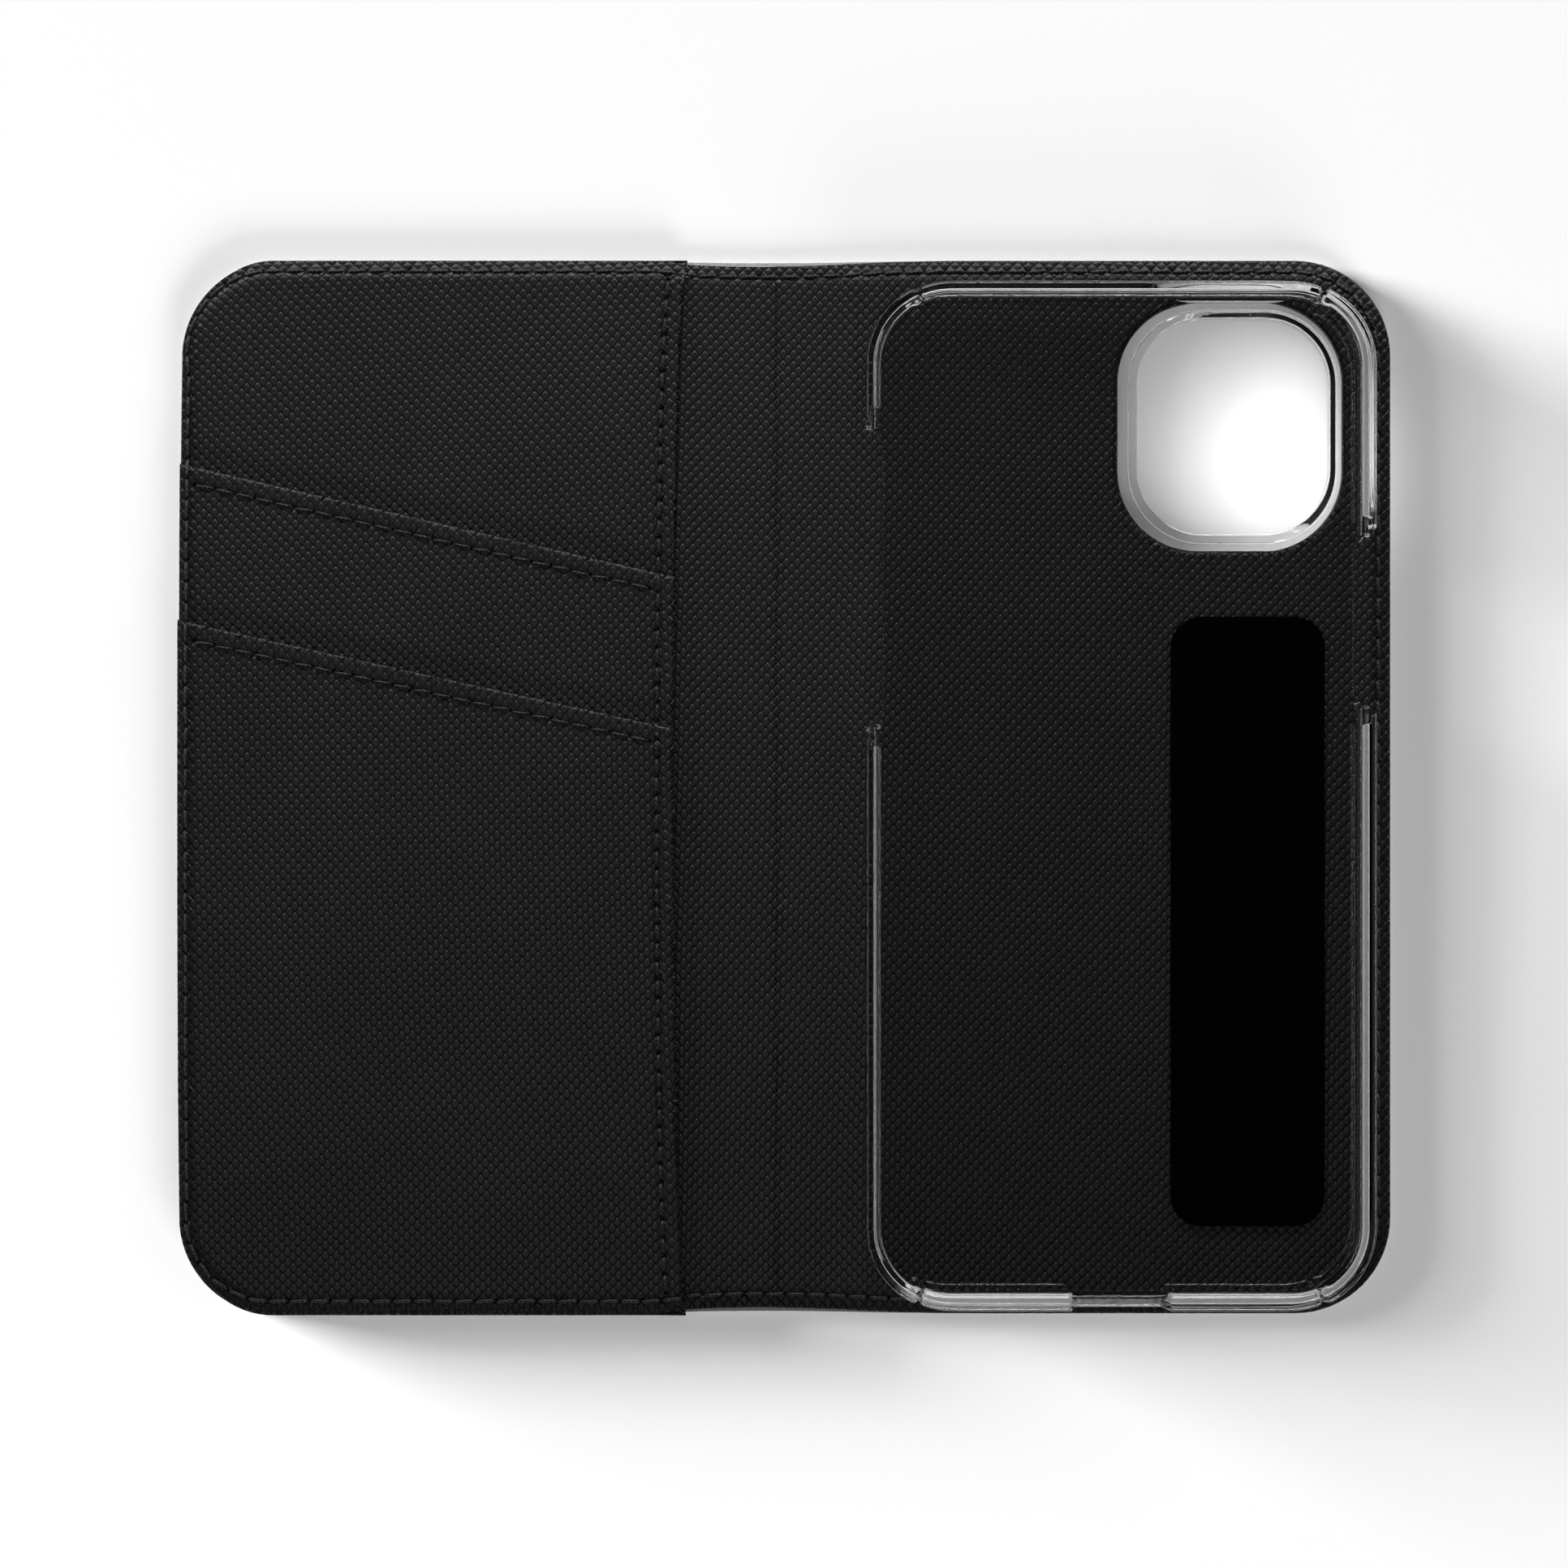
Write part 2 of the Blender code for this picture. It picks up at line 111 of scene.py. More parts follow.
# ----------------------------------------------------------- plane geometry
def arc(cx, cy, r, a0, a1, steps):
    t = np.radians(np.linspace(a0, a1, steps + 1))
    return [(cx + r * math.cos(a), cy + r * math.sin(a)) for a in t]


def rounded_rect(cx, cy, w, h, r, steps=12):
    x0, x1, y0, y1 = cx - w / 2, cx + w / 2, cy - h / 2, cy + h / 2
    return (arc(x0 + r, y0 + r, r, 180, 270, steps) + arc(x1 - r, y0 + r, r, 270, 360, steps) +
            arc(x1 - r, y1 - r, r, 0, 90, steps) + arc(x0 + r, y1 - r, r, 90, 180, steps))


def smooth(t):
    t = np.clip(t, 0.0, 1.0)
    return t * t * (3 - 2 * t)


def soft_interp(x, xs, zs):
    """Piecewise smoothstep between knots."""
    x = np.asarray(x, float)
    z = np.full(x.shape, zs[0], float)
    for i in range(len(xs) - 1):
        z += (zs[i + 1] - zs[i]) * smooth((x - xs[i]) / (xs[i + 1] - xs[i]))
    return z


def poly_dist(p, poly, closed=True):
    a = np.array(poly, float)
    b = np.roll(a, -1, 0) if closed else a[1:]
    a = a if closed else a[:-1]
    best = np.full(len(p), 1e12)
    for u, v in zip(a, b):
        e = v - u
        t = np.clip(((p - u) @ e) / max(e @ e, 1e-12), 0, 1)
        q = p - (u + t[:, None] * e)
        np.minimum(best, (q * q).sum(1), out=best)
    return np.sqrt(best)


def inside(p, poly):
    a = np.array(poly, float)
    b = np.roll(a, -1, 0)
    hit = np.zeros(len(p), bool)
    x, y = p[:, 0], p[:, 1]
    for (ax, ay), (bx, by) in zip(a, b):
        if ay == by:
            continue
        hit ^= ((ay > y) != (by > y)) & (x < (bx - ax) * (y - ay) / (by - ay) + ax)
    return hit


def resample(poly, step, closed=True):
    """Points every step along a polyline, corners of the polyline kept out."""
    a = np.array(poly, float)
    if closed:
        a = np.vstack([a, a[:1]])
    seg = np.linalg.norm(np.diff(a, axis=0), axis=1)
    s = np.concatenate([[0], np.cumsum(seg)])
    n = max(2, int(round(s[-1] / step)))
    t = np.linspace(0, s[-1], n + 1)
    if closed:
        t = t[:-1]
    return np.stack([np.interp(t, s, a[:, 0]), np.interp(t, s, a[:, 1])], 1)


def offset_in(poly, d):
    """The closed, counter-clockwise polygon moved inwards by d."""
    a = np.array(poly, float)
    prev, nxt = np.roll(a, 1, 0), np.roll(a, -1, 0)
    t1, t2 = a - prev, nxt - a
    t1 /= np.maximum(np.linalg.norm(t1, axis=1), 1e-9)[:, None]
    t2 /= np.maximum(np.linalg.norm(t2, axis=1), 1e-9)[:, None]
    n1, n2 = np.stack([-t1[:, 1], t1[:, 0]], 1), np.stack([-t2[:, 1], t2[:, 0]], 1)
    n = n1 + n2
    n /= np.maximum((n * n).sum(1) / 2, 0.5)[:, None]
    return a + n * d


# ----------------------------------------------------------- case outline
def dip(x):
    """How far the ends of the spine are drawn in, 0 on the covers."""
    return np.interp(np.asarray(x, float),
                     [X1 - 7, X1 - 4.5, X1 - 1.8, X1 + 2.5, X1 + 7.5, X2 - 6, X2 - 1, X2 + 4, X2 + 9, X2 + 15],
                     [0, 0.42, 0.70, 0.90, 1.0, 0.93, 0.68, 0.36, 0.12, 0])


def left_edge(y):
    """The front cover's long edge bows very slightly."""
    return -HX + 0.12 + 0.45 * np.abs(np.asarray(y, float) / 72.0) ** 3


def case_outline(inset, dip_depth, side, extra_left=0.0):
    """Half of the case, counter-clockwise: side +1 the back cover with half the
    spine, side -1 the front cover with the other half."""
    y = HY - inset
    r = CORNER_R - inset
    if side > 0:
        x = HX - inset
        xs = np.concatenate([np.linspace(XM, X2 + 16, 30), np.linspace(X2 + 20, x - r - 2, 6)])
        low = [(a, -(y - dip_depth * float(dip(a)))) for a in xs]
        high = [(a, y - dip_depth * float(dip(a))) for a in xs[::-1]]
        return low + arc(x - r, -y + r, r, 270, 360, 16) + arc(x - r, y - r, r, 0, 90, 16) + high
    xs = np.concatenate([np.linspace(-HX + CORNER_R + 2, X1 - 7, 12), np.linspace(X1 - 5, XM, 24)])
    low = [(a, -(y - dip_depth * float(dip(a)))) for a in xs]
    high = [(a, y - dip_depth * float(dip(a))) for a in xs[::-1]]
    return low + high + left_side(inset, extra_left)


def left_side(inset, extra=0.0, y_top=None):
    """Down the front cover's long side from its upper corner (or y_top)."""
    y = HY - inset
    r = CORNER_R - inset
    out = []
    cx = -HX + inset + r
    for a in np.linspace(90, 270, 65):
        ca, sa = math.cos(math.radians(a)), math.sin(math.radians(a))
        # the two quarter arcs, pulled apart by the straight side
        py = (y - r) * (1 if a < 180 else -1) + r * sa if a != 180 else 0.0
        px = cx + r * ca
        out.append((px, py))
    side = [(p[0], p[1]) for p in out if p[1] > y - r - 1e-6]
    low = [(p[0], p[1]) for p in out if p[1] < -(y - r) + 1e-6]
    mid = [(-HX + inset, t) for t in np.linspace(y - r, -(y - r), 14)[1:-1]]
    pts = side + mid + low
    pts = [(px + (float(left_edge(py)) + HX) * (1 if px < cx - r * 0.5 else
            max(0.0, (cx - px) / (r * 0.5))) + extra *
            (1 if px < cx - r * 0.5 else max(0.0, (cx - px) / (r * 0.5))), py) for px, py in pts]
    if y_top is not None:
        pts = [p for p in pts if p[1] < y_top - 0.3]
    return pts


def pocket_edge(y):
    t = np.abs(np.asarray(y, float) + 1.5) / 76.0
    return EDGE_MID + EDGE_BOW * t ** 2 + EDGE_FLARE * t ** 10


def mouth_y(mouth, x):
    return mouth[0] + (mouth[1] - mouth[0]) * (np.asarray(x, float) + HX) / (EDGE_MID + HX)


def panel_outline(mouth, inset, extra_left, edge_shift=0.0):
    """A pocket layer, counter-clockwise, from its upper inner corner round."""
    y = HY - inset
    if mouth is None:
        y1 = y
        left = left_side(inset, extra_left)
        top = [(float(a), y) for a in np.linspace(-15.5, -HX + CORNER_R + 3, 10)[1:]]
    else:
        y1 = float(mouth_y(mouth, EDGE_MID))
        xl = float(left_edge(mouth[0])) + inset + extra_left
        left = left_side(inset, extra_left, float(mouth_y(mouth, xl)))
        top = [(float(a), float(mouth_y(mouth, a))) for a in np.linspace(-17.0, xl, 24)[1:]]
    low = [(float(a), -y) for a in np.linspace(-HX + CORNER_R + 2, -16.5, 10)]
    edge_y = np.linspace(-y, y1, 60)
    edge = [(float(pocket_edge(t)) + edge_shift, float(t)) for t in edge_y]
    if mouth is not None:                  # the mouth's inner end is a little rounded
        edge = edge[:-1] + [(edge[-1][0] - 0.12, edge[-1][1] - 0.1)]
    return edge + top + left + low


SKIN_R = case_outline(0.0, 0.32, 1)
SKIN_L = case_outline(0.0, 0.32, -1)
LINE_R = case_outline(0.04, 0.82, 1)
LINE_L = case_outline(0.14, 0.82, -1, 0.25)


def closed_case(inset, dip_depth):
    """The whole case's outline, counter-clockwise."""
    right = case_outline(inset, dip_depth, 1)
    left = case_outline(inset, dip_depth, -1)
    # left runs: low edge towards the spine, high edge away from it, then down
    n = 36
    low, high, side = left[:n], left[n:2 * n], left[2 * n:]
    return right + high[1:] + side + low[:-1]


CASE = closed_case(0.04, 0.82)
CAM_EDGE = rounded_rect(*CAM_C, *CAM_COVER, 16)
# the lining was cut a little off centre: it reaches further under the collar on the right
CAM_LINE = [(x - 0.8 * float(smooth((x - CAM_C[0] - 3.0) / 7.0)), y) for x, y in CAM_EDGE]


# ----------------------------------------------------------- seams
def seam_loop():
    """The perimeter seam, clockwise seen from above, starting at the upper left."""
    pts = []
    yt, yl = HY - SEAM_TOP, -HY + SEAM_LOW
    xl, xr = -HX + SEAM_LEFT, HX - SEAM_RIGHT
    r = CORNER_R - 1.8
    pts += arc(xl + r, yt - r, r, 180, 90, 14)
    for x in np.linspace(xl + r + 3, xr - r - 3, 70):
        pts.append((x, yt - 0.8 * float(dip(x))))
    pts += arc(xr - r, yt - r, r, 90, 0, 14)
    pts += [(xr, y) for y in np.linspace(yt - r - 3, yl + r + 3, 30)]
    pts += arc(xr - r, yl + r, r, 0, -90, 14)
    for x in np.linspace(xr - r - 3, xl + r + 3, 70):
        pts.append((x, yl + 0.8 * float(dip(x))))
    pts += arc(xl + r, yl + r, r, 270, 180, 14)
    for y in np.linspace(yl + r + 3, yt - r - 3, 30):
        pts.append((xl + float(left_edge(y)) + HX - 0.12, y))
    return pts


def stitches(path, pitch, closed=False, gap=0.55):
    """Pairs of hole centres along a path: one stitch from hole to hole."""
    a = np.array(path, float)
    if closed:
        a = np.vstack([a, a[:1]])
    seg = np.linalg.norm(np.diff(a, axis=0), axis=1)
    s = np.concatenate([[0], np.cumsum(seg)])
    n = max(1, int(round(s[-1] / pitch)))
    step = s[-1] / n
    t0 = np.arange(n) * step + gap / 2
    t1 = (np.arange(n) + 1) * step - gap / 2
    at = lambda t: np.stack([np.interp(t, s, a[:, 0]), np.interp(t, s, a[:, 1])], 1)
    mid = at((np.arange(n + (0 if closed else 1))) * step)
    return at(t0), at(t1), mid


PERIM = seam_loop()
P_A, P_B, P_HOLES = stitches(PERIM, 3.02, closed=True)
mouth_paths = {}
for key, mouth in (("upper", UPPER_MOUTH), ("lower", LOWER_MOUTH)):
    drop = MOUTH_SEAM * math.hypot(1.0, (mouth[1] - mouth[0]) / (EDGE_MID + HX))
    xs = np.linspace(-HX + SEAM_LEFT + 1.3, EDGE_MID - HEM_SEAM - 1.1, 40)
    mouth_paths[key] = [(x, float(mouth_y(mouth, x)) - drop) for x in xs]
MU_A, MU_B, MU_H = stitches(mouth_paths["upper"], 2.95)
ML_A, ML_B, ML_H = stitches(mouth_paths["lower"], 2.95)
hem_path = [(float(pocket_edge(y)) - HEM_SEAM, y) for y in np.linspace(HY - 3.0, -HY + 3.4, 90)]
H_A, H_B, H_H = stitches(hem_path, 2.7)
ALL_HOLES = np.vstack([P_HOLES, MU_H, ML_H, H_H])


# ----------------------------------------------------------- leather heights
def waves(p, amount, seed, scale=1.0):
    """Slow, gentle unevenness of hand-laid leather."""
    g = np.random.default_rng(seed)
    z = np.zeros(len(p))
    for wave in (61.0, 37.0, 23.0, 14.0):
        for _ in range(2):
            a, ph = g.uniform(0, math.tau), g.uniform(0, math.tau)
            k = math.tau / (wave * scale)
            z += np.sin(k * (p[:, 0] * math.cos(a) + p[:, 1] * math.sin(a)) + ph) * wave / 61.0
    return amount * z / 2.2


EDGE_LINE, EDGE_BASE, EDGE_UP, EDGE_LOW = 1.95, 2.85, 3.62, 4.42


def press(p, top, edge):
    """Falls gently from the boards to the pressed, sewn perimeter."""
    f = smooth((poly_dist(p, CASE) + 0.35) / 3.3)
    return edge + (top - edge) * f


def lining_level(p):
    """Top of the lining before the pressed grid: flat over the boards, a little
    lower over the spine, with a thin crease beside the back cover."""
    z = soft_interp(p[:, 0], [X1 - 4.0, X1 - 0.5, X1 + 3.0, X2 - 1.4, X2 + 3.1],
                    [2.9, 2.62, 2.5, 2.5, 2.9])
    z = z - 0.16 * np.exp(-((p[:, 0] - X2 - 2.25) / 0.32) ** 2) * smooth((p[:, 1] - 10) / 50)
    return press(p, z, EDGE_LINE)


def hem_rise(p):
    return smooth((p[:, 0] - (pocket_edge(p[:, 1]) - HEM_SEAM)) / 0.5)


def level_base(p):
    above = p[:, 1] - mouth_y(UPPER_MOUTH, p[:, 0])
    sag = 0.27 * (1 - smooth(above / 4.0))
    return press(p, 3.86 + 0.14 * hem_rise(p) - sag, EDGE_BASE)


def level_upper(p):
    dm = mouth_y(UPPER_MOUTH, p[:, 0]) - p[:, 1]
    band = 1 - smooth((dm - MOUTH_SEAM + 0.35) / 0.7)
    above = p[:, 1] - mouth_y(LOWER_MOUTH, p[:, 0])
    sag = 0.27 * (1 - smooth(above / 4.0))
    return press(p, 4.72 + 0.13 * np.maximum(band, hem_rise(p)) - sag, EDGE_UP)


def level_lower(p):
    dm = mouth_y(LOWER_MOUTH, p[:, 0]) - p[:, 1]
    band = 1 - smooth((dm - MOUTH_SEAM + 0.35) / 0.7)
    return press(p, 5.58 + 0.13 * np.maximum(band, hem_rise(p)), EDGE_LOW)


def channel(p, path, depth, width, closed=False):
    return depth * np.exp(-(poly_dist(p, path, closed) / width) ** 2)


def pits(p, holes, depth=0.4, radius=0.27):
    """Needle holes: steep little funnels."""
    z = np.zeros(len(p))
    for h in holes:
        near = np.abs(p[:, 0] - h[0]) < 1.4
        if not near.any():
            continue
        d = np.hypot(p[near, 0] - h[0], p[near, 1] - h[1])
        z[near] += depth * np.clip(1 - d / radius, 0, 1) + 0.07 * np.exp(-(d / 0.7) ** 2)
    return z


# ----------------------------------------------------------- pressed diamond grid
class Grid:
    """Two families of pressed lines.  u and v are counted in pitches; a small
    smooth warp keeps the rows from being ruler-straight."""

    def __init__(self, a1, a2, pitch1=PITCH, pitch2=PITCH, seed=1, slope=0.16, warp=0.16):
        self.e = np.array([[math.cos(math.radians(a1)), math.sin(math.radians(a1))],
                           [math.cos(math.radians(a2)), math.sin(math.radians(a2))]])
        self.p = np.array([pitch1, pitch2])
        self.slope = slope
        g = np.random.default_rng(seed)
        self.terms = [(g.uniform(0, math.tau), g.uniform(0, math.tau), math.tau / w, warp * w / 90.0, k)
                      for w in (90.0, 55.0, 34.0) for k in (0, 1)]
        self.inv = np.linalg.inv(self.e / self.p[:, None])
        self.shift = g.uniform(0, 1, 2)

    def warp(self, p):
        d = np.zeros((len(p), 2))
        for a, ph, k, amount, row in self.terms:
            d[:, row] += amount * np.sin(k * (p[:, 0] * math.cos(a) + p[:, 1] * math.sin(a)) + ph)
        return d

    def uv(self, p):
        return p @ (self.e / self.p[:, None]).T + self.warp(p) + self.shift

    def xy(self, uv):
        p = (uv - self.shift) @ self.inv.T
        for _ in range(4):
            p = (uv - self.shift - self.warp(p)) @ self.inv.T
        return p

    def height(self, p):
        """0 in the pressed lines, 1 on the pads between them."""
        uv = self.uv(p)
        f = uv - np.floor(uv)
        d = (np.minimum(f, 1 - f) * self.p).min(1)
        dome = np.clip((d - self.slope) / (0.5 * self.p[0] - self.slope), 0, 1)
        return np.clip(d / self.slope, 0, 1) + DOME * dome

    def cells(self, region):
        """Index pairs of the grid's cells that lie in or near a region."""
        lo, hi = region.min(0) - 2, region.max(0) + 2
        box = self.uv(np.array([[lo[0], lo[1]], [hi[0], lo[1]], [hi[0], hi[1]], [lo[0], hi[1]]]))
        i0, j0 = np.floor(box.min(0)).astype(int) - 1
        i1, j1 = np.ceil(box.max(0)).astype(int) + 1
        ii, jj = np.meshgrid(np.arange(i0, i1), np.arange(j0, j1), indexing="ij")
        mid = self.xy(np.stack([ii.ravel() + 0.5, jj.ravel() + 0.5], 1))
        keep = inside(mid, region) | (poly_dist(mid, region) < 0.95)
        cells = np.stack([ii.ravel(), jj.ravel()], 1)[keep]
        return cells


def build_sheet(name, outline, level, thickness, grid=None, emboss_region=None, holes=(),
                hole_loops=(), roll=None, skirt=0.0, low=None, spacing=3.0, crease=False,
                underside=None, emboss_mask=None, unevenness=0.03, seed=3, paths=(),
                top_extra=None, low_limit=None):
    """A closed leather sheet.

    outline     counter-clockwise polygon
    level(p)    height of the pads' tops
    roll(p)     how far the top has rolled down at p, near a folded or cut edge
    emboss_region  polygon in which the pressed grid is modelled
    skirt       the side walls reach down by this much below the sheet's own
    """
    outline = np.array(outline, float)
    verts, edges = [], []

    def add(points, closed=None, link=False):
        k = len(verts)
        verts.extend(map(tuple, points))
        n = len(points)
        if link:
            edges.extend((k + i, k + i + 1) for i in range(n - 1))
            if closed:
                edges.append((k + n - 1, k))
        return k

    add(resample_keep(outline, 1.2), closed=True, link=True)
    for loop in hole_loops:
        add(resample_keep(np.array(loop), 0.8), closed=True, link=True)

    if grid is not None:
        region = np.array(emboss_region if emboss_region is not None else outline)
        cells = grid.cells(region)
        s = grid.slope / grid.p
        crossing = {}
        corner_uv, corner_index = [], {}
        for i, j in cells:
            for a, b in ((i, j), (i + 1, j), (i + 1, j + 1), (i, j + 1)):
                if (a, b) not in corner_index:
                    corner_index[(a, b)] = len(corner_uv)
                    corner_uv.append((a, b))
        c_xy = grid.xy(np.array(corner_uv, float))
        k = add(c_xy)
        es = set()
        for i, j in cells:
            q = [corner_index[(i, j)], corner_index[(i + 1, j)],
                 corner_index[(i + 1, j + 1)], corner_index[(i, j + 1)]]
            for m in range(4):
                a, b = q[m] + k, q[(m + 1) % 4] + k
                es.add((a, b) if a < b else (b, a))
        pads = np.concatenate([cells + np.array(o) for o in
                               ((s[0], s[1]), (1 - s[0], s[1]), (1 - s[0], 1 - s[1]), (s[0], 1 - s[1]))])
        p_xy = grid.xy(pads.astype(float))
        k = add(p_xy)
        n = len(cells)
        for c in range(n):
            q = [k + c + n * m for m in range(4)]
            for m in range(4):
                a, b = q[m], q[(m + 1) % 4]
                es.add((a, b) if a < b else (b, a))
        edges.extend(es)
        add(grid.xy(cells + 0.5))

    rings = [0.05, 0.13, 0.22, 0.32, 0.44, 0.6, 0.8] if roll is not None else [0.3]
    for d in rings:
        ring = resample(offset_in(outline, d), 0.5 if grid is not None else 1.0)
        add(ring)
        for loop in hole_loops:
            add(resample(offset_in(np.array(loop), -d), 0.5))
    if grid is None:
        for d in (1.3, 1.9, 2.6, 3.3, 4.2):
            add(resample(offset_in(outline, d), 2.0))
        lo, hi = outline.min(0), outline.max(0)
        gx, gy = np.meshgrid(np.arange(lo[0] + 1, hi[0], spacing), np.arange(lo[1] + 1, hi[1], spacing))
        pts = np.stack([gx.ravel(), gy.ravel()], 1)
        pts = pts[inside(pts, outline)]
        pts = pts[poly_dist(pts, outline) > 1.0]
        add(pts)
    if crease:
        for xc in (X1, X2):
            xs = np.arange(xc - 3.2, xc + 3.3, 0.4)
            if grid is not None:
                continue
            gx, gy = np.meshgrid(xs, np.arange(-HY + 1.5, HY - 1.2, 2.0))
            pts = np.stack([gx.ravel(), gy.ravel()], 1)
            pts = pts[inside(pts, outline)]
            if len(pts):
                add(pts)
    for path in paths:
        pts = resample(path, 0.45, closed=False)
        for d in (0.0,):
            q = pts[inside(pts, outline)]
            if len(q):
                add(q)
    holes = np.array(holes, float).reshape(-1, 2)
    if len(holes):
        holes = holes[inside(holes, outline)]
        ang = np.arange(8) * math.tau / 8
        add(holes)
        for r in (0.17, 0.36):
            ring = (holes[:, None] + r * np.stack([np.cos(ang), np.sin(ang)], 1)[None]).reshape(-1, 2)
            add(ring[inside(ring, outline)])

    out = delaunay_2d_cdt([Vector(v) for v in verts], edges, [], 0, 0.0015, False)
    pts = np.array([tuple(v) for v in out[0]], float)
    tris = np.array([tuple(f) for f in out[2]], int)
    mid = pts[tris].mean(1)
    keep = inside(mid, outline)
    for loop in hole_loops:
        keep &= ~inside(mid, np.array(loop))
    tris = tris[keep]
    area = np.cross(pts[tris[:, 1]] - pts[tris[:, 0]], pts[tris[:, 2]] - pts[tris[:, 0]])
    tris = np.where((area < 0)[:, None], tris[:, ::-1], tris)
    tris = tris[np.abs(area) > 1e-7]
    used = np.unique(tris)
    back = np.full(len(pts), -1)
    back[used] = np.arange(len(used))
    pts, tris = pts[used], back[tris]

    # heights of the top
    lvl = level(pts) + waves(pts, unevenness, seed)
    h = grid.height(pts) if grid is not None else np.ones(len(pts))
    if emboss_region is not None and grid is not None:
        h = np.where(inside(pts, np.array(emboss_region)), h, 1.0)
    mask = emboss_mask(pts) if emboss_mask is not None else np.ones(len(pts))
    top = lvl - (EMBOSS * (1 - h) + 0.04 * (grid is not None)) * mask
    if roll is not None:
        top = top - roll(pts)
    if len(holes):
        top = top - pits(pts, holes)
    if top_extra is not None:
        top = top + top_extra(pts)

    # boundary loops of the kept triangles, in order
    e = np.concatenate([tris[:, [0, 1]], tris[:, [1, 2]], tris[:, [2, 0]]])
    key = np.sort(e, 1)
    _, inv, count = np.unique(key, axis=0, return_inverse=True, return_counts=True)
    rim = e[count[inv.ravel()] == 1]

    # the underside: the same rim, coarse inside
    rim_ids = np.unique(rim)
    lower_index = {int(v): i for i, v in enumerate(rim_ids)}
    v2 = [tuple(pts[i]) for i in rim_ids]
    e2 = [(lower_index[int(a)], lower_index[int(b)]) for a, b in rim]
    n_rim = len(v2)
    extra = []
    for d in (0.9, 1.6, 2.4, 3.2, 4.0):
        extra.append(resample(offset_in(outline, d), 2.5))
        for loop in hole_loops:
            extra.append(resample(offset_in(np.array(loop), -d), 2.0))
    lo, hi = outline.min(0), outline.max(0)
    gx, gy = np.meshgrid(np.arange(lo[0] + 2, hi[0], 6.0), np.arange(lo[1] + 2, hi[1], 6.0))
    extra.append(np.stack([gx.ravel(), gy.ravel()], 1))
    if crease:
        for xc in (X1, X2):
            gx, gy = np.meshgrid(np.arange(xc - 3.0, xc + 3.1, 0.6), np.arange(-HY + 2.0, HY - 1.5, 3.0))
            extra.append(np.stack([gx.ravel(), gy.ravel()], 1))
    extra = np.vstack(extra)
    ok = inside(extra, outline) & (poly_dist(extra, outline) > 0.5)
    for loop in hole_loops:
        ok &= ~inside(extra, np.array(loop)) & (poly_dist(extra, np.array(loop)) > 0.5)
    v2 += [tuple(q) for q in extra[ok]]
    out2 = delaunay_2d_cdt([Vector(v) for v in v2], e2, [], 0, 1e-5, True)
    pts2 = np.array([tuple(v) for v in out2[0]], float)
    tris2 = np.array([tuple(f) for f in out2[2]], int)
    mid2 = pts2[tris2].mean(1)
    keep2 = inside(mid2, outline)
    for loop in hole_loops:
        keep2 &= ~inside(mid2, np.array(loop))
    tris2 = tris2[keep2]
    area2 = np.cross(pts2[tris2[:, 1]] - pts2[tris2[:, 0]], pts2[tris2[:, 2]] - pts2[tris2[:, 0]])
    tris2 = np.where((area2 > 0)[:, None], tris2[:, ::-1], tris2)
    tris2 = tris2[np.abs(area2) > 1e-9]
    source = {}
    for i, ids in enumerate(out2[3]):
        for o in ids:
            source[int(o)] = i
    if underside is not None:
        z2 = underside(pts2)
    else:
        z2 = level(pts2) - thickness
    rim_new = np.array([source[lower_index[int(v)]] for v in rim_ids])
    d_rim = np.zeros(len(pts2), bool)
    d_rim[rim_new] = True
    z2 = np.where(d_rim, z2 - skirt, z2)
    if low_limit is not None:
        z2 = np.maximum(z2, low_limit)

    n = len(pts)
    coords = np.vstack([np.column_stack([pts, top]), np.column_stack([pts2, z2])]) * MM
    map_low = {int(v): n + source[lower_index[int(v)]] for v in rim_ids}
    walls = [(int(b), int(a), map_low[int(a)], map_low[int(b)]) for a, b in rim]
    faces = [tuple(int(q) for q in t) for t in tris] + \
            [tuple(int(q) + n for q in t) for t in tris2] + walls
    mesh = bpy.data.meshes.new(name)
    mesh.from_pydata([tuple(c) for c in coords], [], faces)
    # pad: 0 in the pressed lines, 1 on the pads; the leather material uses it to paint shade into the lines
    attr = mesh.attributes.new("pad", "FLOAT", "POINT")
    values = np.ones(len(coords), np.float32)
    values[:n] = 1 - (1 - np.minimum(h, 1)) * mask
    attr.data.foreach_set("value", values)
    mesh.validate()
    mesh.shade_smooth()
    ob = bpy.data.objects.new(name, mesh)
    bpy.context.scene.collection.objects.link(ob)
    bm = bmesh.new()
    bm.from_mesh(mesh)
    bmesh.ops.recalc_face_normals(bm, faces=bm.faces)
    # pressed lines and pad edges are crisp, the pads' corners are rounded over
    rise = np.ones(len(coords))
    rise[:n] = h
    for edge in bm.edges:
        a, b = edge.verts[0].index, edge.verts[1].index
        limit = 75 if abs(rise[a] - rise[b]) > 0.5 else 20
        if len(edge.link_faces) == 2 and edge.calc_face_angle(0) > math.radians(limit):
            edge.smooth = False
    loose = [v for v in bm.verts if not v.link_faces]
    bmesh.ops.delete(bm, geom=loose, context="VERTS")
    bm.to_mesh(mesh)
    bm.free()
    return ob


def resample_keep(poly, step):
    """The polygon's corners, with points added on long sides."""
    a = np.array(poly, float)
    b = np.roll(a, -1, 0)
    out = []
    for u, v in zip(a, b):
        length = float(np.linalg.norm(v - u))
        if length < 1e-4:
            continue
        k = max(1, int(math.ceil(length / step)))
        out.extend(u + (v - u) * i / k for i in range(k))
    return np.array(out)


